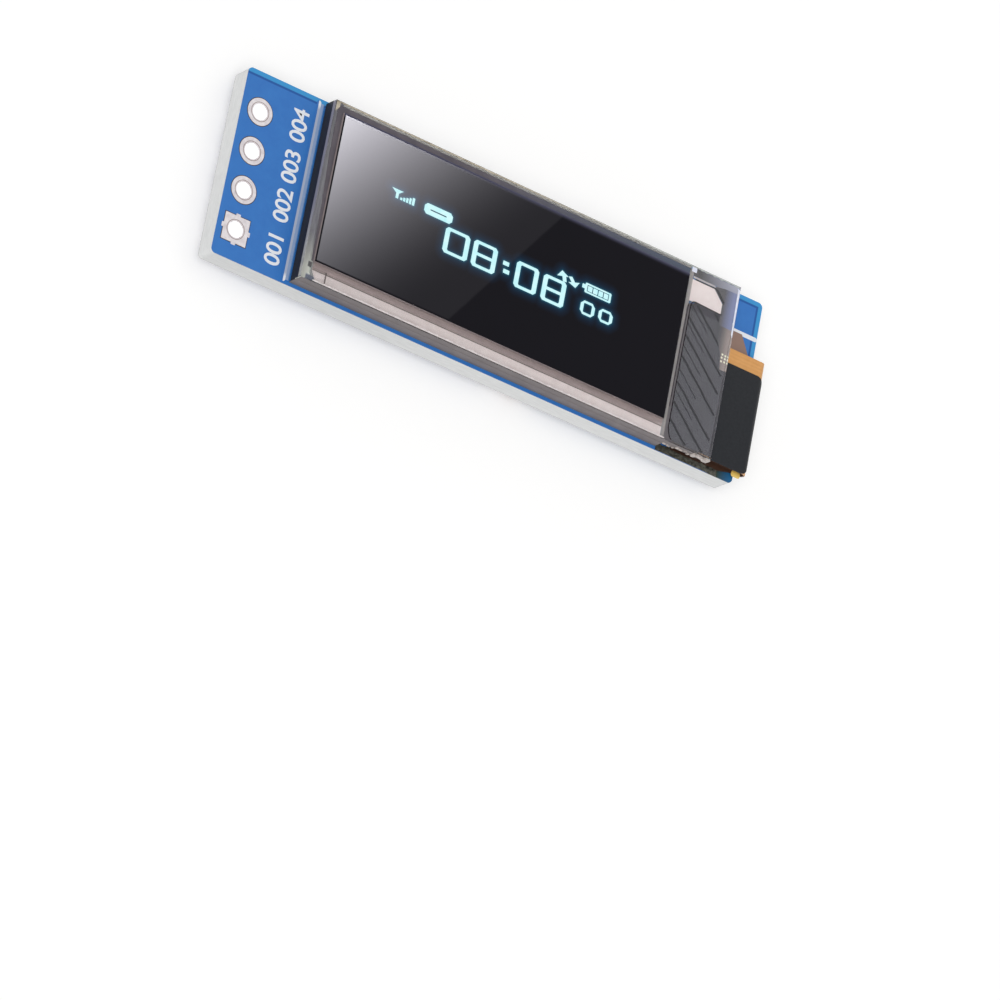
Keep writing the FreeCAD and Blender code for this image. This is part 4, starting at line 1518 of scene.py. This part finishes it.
@dataclass
class Display:
    """The screen: its dark film, and the lit lines of a plain clock face, placed by display pixels."""

    pitch: float = 0.17484
    left: float = -11.775
    top: float = 2.797
    film_top: float = 4.081
    lit_top: float = 4.085
    glow_reach: float = 0.6
    columns: int = 204
    rows: int = 78
    digits: Sequence[tuple[Glyph, float, float, float, float]] = (
        (Glyph.ZERO, 38.4, 48.6, 9.9, 19.3), (Glyph.EIGHT, 50.2, 60.1, 9.8, 19.4),
        (Glyph.ZERO, 68.2, 77.6, 10.4, 20.0), (Glyph.EIGHT, 79.6, 89.2, 10.6, 20.2))
    upright: float = 1.85
    level: float = 1.1
    corner: float = 0.95
    hoops: Sequence[tuple[float, float, float, float, float, float, float]] = (
        (28.6, 4.9, 40.2, 8.8, 2.4, 1.72, 1.0),
        (96.5, 7.2, 107.5, 10.8, 0.9, 0.62, 0.3),
        (96.0, 13.7, 102.0, 18.8, 1.3, 0.85, 1.3), (103.7, 13.8, 109.6, 18.6, 1.3, 0.85, 1.3))
    bars: Sequence[tuple[float, float, float, float]] = (
        (16.8, 6.1, 17.9, 8.2), (18.7, 7.3, 19.6, 8.2), (19.9, 6.9, 20.8, 8.2), (21.1, 6.5, 22.0, 8.2),
        (22.3, 6.0, 23.2, 8.2), (23.5, 5.5, 24.5, 8.2), (62.8, 12.7, 65.3, 14.2), (63.4, 15.5, 65.9, 17.0),
        (95.3, 8.0, 96.6, 9.5), (97.7, 8.05, 99.6, 9.95), (99.95, 8.05, 101.85, 9.95),
        (102.2, 8.05, 104.1, 9.95), (104.45, 8.05, 106.3, 9.95))
    wedges: Sequence[Sequence[Flat]] = (
        ((14.9, 5.0), (19.6, 5.0), (17.8, 6.4), (16.9, 6.4)),
        ((84.7, 9.3), (86.4, 6.8), (89.3, 8.2)), ((86.7, 8.4), (88.2, 8.0), (88.9, 10.3), (87.4, 10.6)),
        ((89.3, 7.9), (90.8, 7.5), (92.3, 9.2), (90.9, 9.5)), ((89.6, 9.9), (94.1, 8.5), (92.7, 10.9)))

    def place(self, column: float, row: float) -> Flat:
        """Turns a place in display pixels into millimetres on the glass."""
        return (self.left + column * self.pitch, self.top - row * self.pitch)

    def box(self, left: float, top: float, right: float, bottom: float, cut: float) -> list[Flat]:
        """Gives the outline in millimetres of a box in display pixels, its corners cut off."""
        low, high = self.place(left, bottom), self.place(right, top)
        return cut_corners(low, high, cut * self.pitch)

    def build(self, bench: Bench) -> None:
        """Builds the lit lines and the film that glows round them.

        Args:
            bench: where the pieces are put on the module.
        """
        lit = self.lit()
        bench.fit(self.film(lit), SCREEN, "polarizer_film", "polarizer")
        bench.fit(lit, LIT_PIXEL, "pixel_film")

    def lit(self) -> Piece:
        """Makes the thin lit lines of the digits and signs.

        Returns:
            The piece, not yet in the scene.
        """
        shape = Shape()
        levels = (self.film_top, self.lit_top)
        for glyph, left, right, top, bottom in self.digits:
            outer = self.box(left, top, right, bottom, self.corner)
            inner = self.box(left + self.upright, top + self.level, right - self.upright, bottom - self.level,
                             self.corner * 0.4)
            shape.hoop(outer, inner, *levels)
            if glyph is Glyph.EIGHT:
                middle = (top + bottom) / 2
                shape.plate(self.box(left + self.upright, middle - self.level / 2, right - self.upright,
                                     middle + self.level / 2, 0.01), *levels)
        for left, top, right, bottom, wide, thick, cut in self.hoops:
            shape.hoop(self.box(left, top, right, bottom, cut),
                       self.box(left + wide, top + thick, right - wide, bottom - thick, cut * 0.2), *levels)
        for left, top, right, bottom in self.bars:
            shape.plate(self.box(left, top, right, bottom, 0.12), *levels)
        for wedge in self.wedges:
            shape.plate([self.place(column, row) for column, row in wedge], *levels)
        return shape.object("lit_lines")

    def film(self, lit: Piece) -> Piece:
        """Makes the dark film, which knows how near each of its points is to a lit line.

        Args:
            lit: the lit lines.

        Returns:
            The film, with its nearness in the point attribute that its finish reads.
        """
        low, high = box_mm("polarizer")
        shape = Shape()
        middle = Matrix.Translation(((low.x + high.x) / 2, (low.y + high.y) / 2, low.z))
        scale = Matrix.Diagonal(((high.x - low.x) / 2, (high.y - low.y) / 2, 1.0, 1.0))
        bmesh.ops.create_grid(shape.bm, x_segments=self.columns, y_segments=self.rows, size=1.0,
                              matrix=middle @ scale)
        shape.grow(shape.bm.faces[:], (0.0, 0.0, self.film_top - low.z))
        under = [face for face in shape.bm.faces if face.calc_center_median().z < low.z + 1e-4]
        bmesh.ops.dissolve_faces(shape.bm, faces=under, use_verts=True)
        rim = [edge for edge in shape.bm.edges if min(vert.co.z for vert in edge.verts) > self.film_top - 1e-4
               and edge.calc_face_angle(0.0) > 1.0]
        shape.soften(rim, 0.035, 2)
        piece = shape.object("screen_film")
        lines = BVHTree.FromPolygons([vert.co / MM for vert in lit.data.vertices],
                                     [tuple(polygon.vertices) for polygon in lit.data.polygons])
        glow = piece.data.attributes.new("glow", "FLOAT", "POINT")
        for index, vert in enumerate(piece.data.vertices):
            near = lines.find_nearest(vert.co / MM, self.glow_reach * 2)[3]
            glow.data[index].value = 0.0 if near is None else max(0.0, 1.0 - near / self.glow_reach)
        return piece


VEIL_LEVELS: Flat = (3.356, 3.358)
OVER_LEVELS: Flat = (3.3585, 3.3605)
LINE_LEVELS: Flat = (3.361, 3.364)
FACE_LEVELS: Flat = (3.904, 3.907)
RIM_LEVELS: Flat = (3.904, 3.908)
PANEL_TRIMS = (
    Trim("ledge_bar", TAUPE, "contact_metal", blocks=[((12.53, -5.6, 3.343), (12.76, 5.6, 3.351))]),
    Trim("bar_shade", SHADE, "contact_metal",
         plates=[([(12.68, -5.62), (13.5, -5.62), (13.1, -5.3), (12.9, -4.8), (12.9, 3.5), (12.68, 3.2)],
                  OVER_LEVELS)]),
    Trim("ledge_top", LEDGE_TOP, "contact_metal",
         plates=[([(12.76, 5.22), (14.5, 5.22), (15.25, 4.75), (16.1, 5.3), (16.1, 5.73), (12.76, 5.73)],
                  VEIL_LEVELS)]),
    Trim("ledge_side", LEDGE_SIDE, "contact_metal",
         plates=[([(14.4, 5.16), (14.4, 5.0), (15.14, 4.3), (15.14, 2.9), (16.1, 2.9), (16.1, 5.32),
                   (15.25, 5.3)], OVER_LEVELS)]),
    Trim("ledge_blush", BLUSH, "contact_metal",
         plates=[([(15.25, 1.95), (15.6, 1.2), (15.75, 0.2), (16.1, 0.2), (16.1, 2.9), (15.25, 2.9)],
                  OVER_LEVELS)]),
    Trim("patch_light", PALE_LINE, "contact_metal",
         plates=[([(12.8, 5.1), (14.5, 5.1), (14.42, 5.21), (12.8, 5.21)], LINE_LEVELS)]),
    # Dark lines round the contact patch, and in the plate a painted shadow along its cut corner.
    Trim("patch_outline_and_shadow", DARK_EDGE, "contact_metal",
         plates=[([(14.5, 5.04), (14.72, 5.02), (15.3, 4.42), (15.22, 4.28), (15.15, 4.3)], LINE_LEVELS)],
         ribbons=[([(12.95, 5.04), (14.45, 5.04), (14.62, 5.0)], 0.09, LINE_LEVELS),
                  ([(13.15, 3.62), (15.25, 3.58)], 0.06, LINE_LEVELS)]),
    Trim("ground_side", GROUND_SIDE, "clear_glass",
         blocks=[((-13.815, -5.762, 3.36), (16.05, -5.749, 3.86))]),
    # Painted highlight along the near edge of the glass.
    Trim("near_edge_highlight", NEAR_EDGE_HIGHLIGHT, "clear_glass",
         strips=[(-13.075, 12.58, -5.62, -5.705, RIM_LEVELS, 0.028, 3)]),
    Trim("side_seal", GROUND_SIDE, "seal_resin", blocks=[((-13.845, -5.78, 2.6), (12.83, -5.749, 3.363))]),
    # Painted highlights: a line down the ledge's right edge and a spot where it meets the top.
    Trim("end_highlights", RIM_HIGHLIGHT, "clear_glass",
         plates=[([(15.97, 2.5), (16.085, 2.3), (16.085, 5.5), (15.93, 5.56)], RIM_LEVELS),
                 ([(12.42, 5.32), (12.78, 5.32), (12.78, 5.64), (12.42, 5.64)], RIM_LEVELS)]),
    Trim("ledge_foot", UMBER, "contact_metal",
         plates=[([(12.9, -5.47), (16.1, -5.47), (16.1, -5.74), (12.9, -5.74)], VEIL_LEVELS)]),
    Trim("ground_end", END_PALE, "clear_glass", blocks=[((-13.885, -5.67, 3.6), (-13.874, 5.69, 3.865))]),
    Trim("shaded_end", END_BLACK, "smoked_glass", blocks=[((-13.885, -5.72, 3.295), (-13.874, 5.73, 3.6))]),
    Trim("screen_fringe", FRINGE, "polarizer_film",
         plates=[([(-13.405, -4.55), (-13.265, -4.55), (-13.265, 5.06), (12.3, 5.06), (12.3, 5.46),
                   (-13.675, 5.46), (-13.655, 2.4), (-13.475, -1.2)], FACE_LEVELS)]),
    Trim("top_rim", TOP_RIM, "clear_glass",
         plates=[([(-13.825, 5.0), (-13.575, 5.35), (-13.575, 5.7), (-13.825, 5.7)], RIM_LEVELS)],
         strips=[(-13.575, 16.0, 5.62, 5.705, RIM_LEVELS, 0.03, 8)]))


@dataclass
class GlassPanel:
    """Front glass, rear glass and the films that show beside the screen."""

    front_radius: float = 0.05
    strip_left: float = -13.0
    strip_cut: float = 0.42
    band_edge: float = -4.86
    band_top: float = -4.3
    line_width: float = 0.05
    tick_x: float = -12.1
    tick_width: float = 0.1
    resin_run: Flat = (12.83, 16.0)
    thick_from: float = 14.8
    crumbs: int = 30
    crumb_from: float = 13.0
    crumb_pitch: float = 0.145
    glass_top: float = 3.905

    def build(self, bench: Bench) -> None:
        """Builds the glass, the films and lines in it and the resin below it.

        Args:
            bench: where the pieces are put on the module.
        """
        bench.fit(self.front(), CLEAR_GLASS, "clear_glass", "front_glass")
        bench.fit(self.strip(), PALE_METAL, "contact_metal", "contact_strip")
        bench.trim(*self.bands(), *PANEL_TRIMS)
        bench.fit(self.resin_edge(), RESIN_BEAD, "seal_resin")
        bench.fit(self.dark_resin(), DARK_RESIN, "seal_resin")

    def front(self) -> Piece:
        """Makes the cut sheet of glass with its rims broken.

        Returns:
            The piece, not yet in the scene.
        """
        low, high = box_mm("front_glass")
        shape = Shape()
        shape.block(low, high, self.front_radius, 3)
        return shape.object("front_sheet")

    def strip(self) -> Piece:
        """Makes the pale strip, with a slanting end at the pin side.

        Returns:
            The piece, not yet in the scene.
        """
        low, high = box_mm("contact_strip")
        outline = [(self.strip_left + self.strip_cut, low.y), (high.x, low.y), (high.x, self.band_edge),
                   (self.strip_left, self.band_edge)]
        shape = Shape()
        shape.plate(outline, low.z, high.z)
        return shape.object("pale_strip")

    def bands(self) -> tuple[Trim, Trim]:
        """Lays out the duller band above the pale strip, and the brown line and tick between them.

        Returns:
            The band and the lines.
        """
        low, high = box_mm("contact_strip")
        half = self.line_width / 2
        bottom, top = LINE_LEVELS
        band = [((self.strip_left, self.band_edge, low.z), tuple(high)),
                ((self.strip_left, high.y - 0.01, VEIL_LEVELS[0]), (high.x, self.band_top, VEIL_LEVELS[1]))]
        lines = [((self.strip_left, self.band_edge - half, bottom), (high.x, self.band_edge + half, top)),
                 ((self.tick_x, low.y + 0.06, bottom), (self.tick_x + self.tick_width, high.y, top))]
        return (Trim("dull_band", DULL_METAL, "contact_metal", blocks=band),
                Trim("strip_lines", BROWN_EDGE, "contact_metal", blocks=lines))

    def resin_edge(self) -> Piece:
        """Makes the lumpy resin that runs along the ledge's near side, thickest at its end.

        Returns:
            The piece, not yet in the scene.
        """
        shape = Shape()
        chance = random.Random(5)
        x = self.resin_run[0]
        while x < self.resin_run[1]:
            big = x > self.thick_from
            run = chance.uniform(0.3, 0.46) if big else chance.uniform(0.16, 0.3)
            drop = chance.uniform(0.3, 0.5) if big else chance.uniform(0.08, 0.2)
            top = self.glass_top - (chance.uniform(0.02, 0.12) if big else chance.uniform(0.2, 0.45))
            part = Shape()
            out, radius = (-5.86, 0.07) if big else (-5.81, 0.035)
            part.block((x, out, top - drop), (x + run, -5.7, top), radius, 3)
            part.unsettle(0.016, int(x * 100))
            shape.take(part)
            x += run * (0.72 if big else 1.25)
        return shape.object("resin_edge", 70.0)

    def dark_resin(self) -> Piece:
        """Makes the dark crumbly resin on the board below the ledge.

        Returns:
            The piece, not yet in the scene.
        """
        shape = Shape()
        shape.jagged(12.9, 17.5, -5.5, -5.985, (2.59, 2.63), 0.07, 12)
        chance = random.Random(14)
        for step in range(self.crumbs):
            x = self.crumb_from + step * self.crumb_pitch
            y = -5.95 + chance.uniform(0.0, 0.3)
            part = Shape()
            part.block((x, y, 2.6), (x + chance.uniform(0.1, 0.22), y + chance.uniform(0.06, 0.14),
                                     2.63 + chance.uniform(0.03, 0.1)), 0.025, 2)
            part.unsettle(0.012, step)
            shape.take(part)
        return shape.object("dark_resin", 70.0)


CONTACT_DOTS = ((15.72, 1.19), (15.95, 1.17), (15.7, 0.98), (15.95, 0.97), (15.7, 0.74), (15.94, 0.76))
FILM_MARGIN = Trim("film_margin", COVER, "cover_film",
                   plates=[([(12.9, 3.1), (15.32, 3.1), (15.32, 3.59), (13.2, 3.59), (12.9, 3.35)],
                            (3.3555, 3.3565))])
TAIL_TRIMS = (
    Trim("film_outline", BLACK_LINE, "cover_film",
         ribbons=[([(13.1, 3.52), (12.9, 3.46), (12.77, 3.26), (12.74, -0.15), (12.73, -4.8), (12.8, -5.2),
                    (12.94, -5.48), (13.1, -5.6)], 0.07, FACE_LEVELS),
                  ([(12.6, 3.25), (12.56, -0.15), (12.55, -3.6)], 0.04, FACE_LEVELS),
                  ([(13.1, 3.52), (14.98, 3.45)], 0.04, FACE_LEVELS)]),
    Trim("contact_dots", SOLDER_DOT, "solder",
         blocks=[((x, y - 0.06, LINE_LEVELS[0]), (x + 0.13, y + 0.06, LINE_LEVELS[1]))
                 for x, y in CONTACT_DOTS]))


@dataclass
class FlexTail:
    """The folded tail: its film under the ledge, the amber neck and the black tape."""

    hatch_starts: Sequence[float] = (5.22, 3.99, 2.64, 1.46, 0.06, -1.63, -2.91, -4.11)
    faint_starts: Sequence[float] = (3.5, 2.2, 0.75, -0.8, -2.2)
    hatch_slope: float = -0.93
    hatch_from: float = 12.96
    hatch_width: float = 0.16
    hatch_levels: Flat = (3.357, 3.3595)
    hatch_steps: int = 7
    tip_outline: Sequence[Flat] = ((18.45, -5.6), (19.1, -5.6), (19.1, -5.2), (18.45, -5.2))
    tip_levels: Flat = (2.735, 2.8)
    tape_radius: float = 0.5
    bend_x: float = 18.9425
    bend_reach: float = 0.3325

    def build(self, bench: Bench) -> None:
        """Builds the film, its hatch, the bright tip and the tape.

        Args:
            bench: where the pieces are put on the module.
        """
        bench.trim(FILM_MARGIN)
        bench.fit(self.film_hatch(), HATCH, "cover_film")
        bench.trim(*TAIL_TRIMS)
        bench.fit(self.bright_tip(), TIP, "polyimide")
        bench.fit(self.tape(), TAPE, "black_tape", "bend_tape")

    def film_hatch(self) -> Piece:
        """Draws the slanting lines on the film under the ledge.

        Returns:
            The piece, not yet in the scene.
        """
        chance = random.Random(9)
        shape = Shape()
        for starts, width, share in ((self.hatch_starts, self.hatch_width, 1.0),
                                     (self.faint_starts, self.hatch_width * 0.5, 0.5)):
            for start in starts:
                left = max(self.hatch_from, 12.9 + (3.5 - start) / self.hatch_slope)
                wide = 15.25 if start + self.hatch_slope * 2.35 > 1.9 else 15.95
                right = min(wide, 12.9 + (-5.4 - start) / self.hatch_slope)
                right = left + (right - left) * share
                points = []
                for step in range(self.hatch_steps + 1):
                    x = left + (right - left) * step / self.hatch_steps
                    points.append((x, start + self.hatch_slope * (x - 12.9) + chance.uniform(-0.03, 0.03)))
                shape.ribbon(points, width, *self.hatch_levels)
        return shape.object("film_hatch")

    def bright_tip(self) -> Piece:
        """Makes the small bright corner of polyimide below the tape's free end.

        Returns:
            The piece, not yet in the scene.
        """
        shape = Shape()
        shape.plate(self.tip_outline, *self.tip_levels, 0.15, 0.02)
        return shape.object("bright_tip")

    def tape(self) -> Piece:
        """Makes the tape with round free corners, drooping a little over the bend.

        Returns:
            The piece, not yet in the scene.
        """
        low, high = box_mm("bend_tape")
        shape = Shape()
        outline = [(low.x, low.y), (high.x, low.y), (high.x, high.y), (low.x, high.y)]
        part = Shape()
        face = part.bm.faces.new([part.bm.verts.new((x, y, low.z)) for x, y in outline])
        part.grow([face], (0.0, 0.0, high.z - low.z))
        free = [edge for edge in part.bm.edges if is_upright(edge) and edge.verts[0].co.x > high.x - 0.01]
        part.soften(free, self.tape_radius, 8)
        for cut in range(1, 12):
            at = low.x + (high.x - low.x) * cut / 12
            bmesh.ops.bisect_plane(part.bm, geom=part.bm.verts[:] + part.bm.edges[:] + part.bm.faces[:],
                                   plane_co=(at, 0.0, 0.0), plane_no=(1.0, 0.0, 0.0))
        part.soften([edge for edge in part.bm.edges if edge.calc_face_angle(0.0) > 1.0], 0.015, 2)
        for vert in part.bm.verts:
            past = vert.co.x - self.bend_x
            if past > 0.0:
                vert.co.z -= self.bend_reach - math.sqrt(max(self.bend_reach ** 2 - past ** 2, 0.0))
        shape.take(part)
        return shape.object("tape_over_bend")


@dataclass
class Studio:
    """Floor, lamps, world and camera."""

    camera_place: Spot = (-191.34867, -165.31263, 322.37813)
    camera_turn: Spot = (15.50192, -34.76020, 12.12568)
    lens: float = 248.106
    sensor: float = 36.0
    clip: Flat = (0.01, 20.0)
    sun_strength: float = 1.5
    sun_from: Spot = (-0.5, -0.45, 1.0)
    sun_angle: float = 35.0
    world_light: float = 0.52
    bounce: float = 0.85
    later_bounce: float = 0.15
    floor_light: float = 0.38
    floor_shade: float = 0.7
    floor_tone: Spot = (1.0, 0.995, 0.985)
    floor_rough: float = 0.9
    floor_half: float = 3000.0
    card_level: float = 300.0
    card_low: Flat = (-18.0, -9.0)
    card_high: Flat = (8.0, 9.0)
    card_edge: float = 0.08
    screen_level: float = 4.08
    edge_start: Flat = (2.705, 4.89)
    edge_run: Flat = (0.563, 0.826)
    fade_run: Flat = (-0.761, 0.649)
    fade_length: float = 11.76
    fade_power: float = 2.6
    card_peak: float = 62.0
    card_base: float = 1.0
    card_colour: Colour = (0.985, 0.96, 1.04, 1.0)

    def build(self) -> None:
        """Sets up the whole studio."""
        self.world()
        self.sun()
        self.floor()
        self.card()
        self.camera()

    def world(self) -> None:
        """Makes a white world that lights the object at a plain level."""
        world = bpy.data.worlds.new("studio")
        world.use_nodes = True
        sketch = Sketch(world.node_tree)
        path = sketch.add("LightPath")
        seen = sketch.maths("MAXIMUM", path.outputs["Is Camera Ray"], path.outputs["Is Glossy Ray"])
        seen = sketch.maths("MAXIMUM", seen, path.outputs["Is Transmission Ray"])
        lit = sketch.maths("MINIMUM", path.outputs["Diffuse Depth"], 1.0)
        seen = sketch.maths("MULTIPLY", seen, sketch.maths("SUBTRACT", 1.0, lit))
        background = sketch.add("Background", {"Color": WHITE,
                                               "Strength": sketch.spread(seen, 0.0, 1.0, self.world_light)})
        sketch.add("OutputWorld", {"Surface": background.outputs[0]})
        bpy.context.scene.world = world

    def sun(self) -> None:
        """Hangs one wide soft lamp on the camera's side."""
        lamp = bpy.data.lights.new("soft_key", "SUN")
        lamp.energy = self.sun_strength
        lamp.angle = math.radians(self.sun_angle)
        holder = bpy.data.objects.new("soft_key", lamp)
        holder.rotation_euler = Vector(self.sun_from).to_track_quat("Z", "Y").to_euler()
        bpy.context.scene.collection.objects.link(holder)

    def floor(self) -> None:
        """Lays a plain pale floor under the object."""
        shape = Shape()
        bmesh.ops.create_grid(shape.bm, x_segments=1, y_segments=1, size=self.floor_half)
        floor = shape.object("floor")
        floor.data.materials.append(painted("pale_floor", self.floor_surface))
        bpy.context.scene.collection.objects.link(floor)

    def floor_surface(self, sketch: Sketch) -> Socket:
        """Gives a floor that shows white, throws back even light and is clear from below.

        Args:
            sketch: the material's sketch.

        Returns:
            The surface.
        """
        rays = sketch.add("LightPath").outputs
        seen = sketch.maths("MULTIPLY", rays["Is Camera Ray"], self.floor_light)
        seen = sketch.maths("MAXIMUM", seen, rays["Is Glossy Ray"])
        seen = sketch.maths("MAXIMUM", seen, rays["Is Transmission Ray"])
        shades = [self.floor_shade * share for share in self.floor_tone]
        pale = sketch.add("BsdfPrincipled", {"Base Color": (*shades, 1.0), "Roughness": self.floor_rough,
                                             "Specular IOR Level": 0.0, "Emission Color": WHITE,
                                             "Emission Strength": seen})
        light = sketch.spread(rays["Diffuse Depth"], 1.0, 2.0, self.bounce, self.later_bounce)
        bounce = sketch.add("Emission", {"Strength": light})
        lit = sketch.mix(rays["Is Diffuse Ray"], pale.outputs[0], bounce.outputs[0])
        clear = sketch.add("BsdfTransparent").outputs[0]
        return sketch.mix(sketch.add("NewGeometry").outputs["Backfacing"], lit, clear)

    def card(self) -> None:
        """Hangs a softbox that only the screen mirrors, bright at one corner and cut off at a slant."""
        growth = (self.card_level + self.camera_place[2] - 2 * self.screen_level) / (
            self.camera_place[2] - self.screen_level)
        shift = [place * (1.0 - growth) for place in self.camera_place[:2]]
        shape = Shape()
        low, high = ([offset + growth * place for offset, place in zip(shift, corner)]
                     for corner in (self.card_low, self.card_high))
        corners = [(low[0], low[1]), (low[0], high[1]), (high[0], high[1]), (high[0], low[1])]
        shape.bm.faces.new([shape.bm.verts.new((x, y, self.card_level)) for x, y in corners])
        card = shape.object("softbox")
        material = bpy.data.materials.new("softbox_light")
        material.use_nodes = True
        sketch = Sketch(material.node_tree)
        x, y, _ = sketch.axes()
        away = []
        for value, offset, start in ((x, shift[0], self.edge_start[0]), (y, shift[1], self.edge_start[1])):
            on_screen = sketch.maths("DIVIDE", sketch.maths("SUBTRACT", value, offset), growth)
            away.append(sketch.maths("SUBTRACT", on_screen, start))
        past = sketch.maths("ADD", sketch.maths("MULTIPLY", away[0], -self.edge_run[1]),
                            sketch.maths("MULTIPLY", away[1], self.edge_run[0]))
        fade = sketch.maths("ADD", sketch.maths("MULTIPLY", away[0], self.fade_run[0]),
                            sketch.maths("MULTIPLY", away[1], self.fade_run[1]))
        share = sketch.maths("MAXIMUM", sketch.maths("DIVIDE", fade, self.fade_length), 0.0)
        glow = sketch.maths("MULTIPLY", sketch.maths("POWER", share, self.fade_power), self.card_peak)
        glow = sketch.maths("ADD", glow, self.card_base)
        glow = sketch.maths("MULTIPLY", glow, sketch.spread(past, 0.0, self.card_edge))
        light = sketch.add("Emission", {"Color": self.card_colour, "Strength": glow})
        clear = sketch.add("BsdfTransparent")
        both = sketch.add("AddShader", {0: light.outputs[0], 1: clear.outputs[0]})
        sketch.add("OutputMaterial", {"Surface": both.outputs[0]})
        card.data.materials.append(material)
        card.visible_camera = False
        card.visible_diffuse = False
        card.visible_transmission = False
        card.visible_shadow = False
        bpy.context.scene.collection.objects.link(card)
        screen = bpy.data.collections.new("mirrors_softbox")
        screen.objects.link(bpy.data.objects["screen_film"])
        card.light_linking.receiver_collection = screen

    def camera(self) -> None:
        """Sets the camera at the photograph's place and angle."""
        camera = bpy.data.cameras.new("camera")
        camera.lens = self.lens
        camera.sensor_width = self.sensor
        camera.clip_start, camera.clip_end = self.clip
        holder = bpy.data.objects.new("camera", camera)
        holder.location = Vector(self.camera_place) * MM
        holder.rotation_euler = [math.radians(angle) for angle in self.camera_turn]
        bpy.context.scene.collection.objects.link(holder)
        bpy.context.scene.camera = holder


DRESSED: Sequence[tuple[Finish, Sequence[str]]] = (
    (LAMINATE, ("printed_board",)), (FRONT_LACQUER, ("solder_mask_front",)),
    (BACK_LACQUER, ("solder_mask_back",)), (LINE_INK, ("legend_front",)), (WHITE_INK, ("legend_back",)),
    (COPPER, ("pads_front",)), (TIN, ("pads_back", "regulator_leads", "diode_leads")),
    (PLATED, ["plated_hole_%d" % pin for pin in range(1, 5)]), (FOAM, ("panel_tape",)),
    (REAR_GLASS, ("cap_glass",)), (GETTER, ("getter_sheet",)), (SEAL, ("edge_seal",)),
    (PIXEL_FILM, ("pixel_layer",)), (PALE_METAL, ("contact_patch",)), (AMBER, ("flex_tail",)),
    (COVER, ("ledge_film",)), (SILICON, ("driver_die",)), (SOLDER, ("finger_solder",)))


def main() -> None:
    """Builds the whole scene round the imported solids."""
    logging.basicConfig(level=logging.INFO, format="%(message)s")
    for leftover in list(bpy.data.objects):
        bpy.data.objects.remove(leftover)
    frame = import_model()
    bench = Bench(frame["nodes"])
    for finish, names in DRESSED:
        bench.dress(finish, *names)
    for group in (CircuitBoard(), Chips(), Moulded(), SolderJoints(), GlassPanel(), Display(), FlexTail()):
        group.build(bench)
    Studio().build()
    bpy.context.scene.view_settings.view_transform = "Standard"
    bpy.context.view_layer.update()


if __name__ == "__main__":
    main()
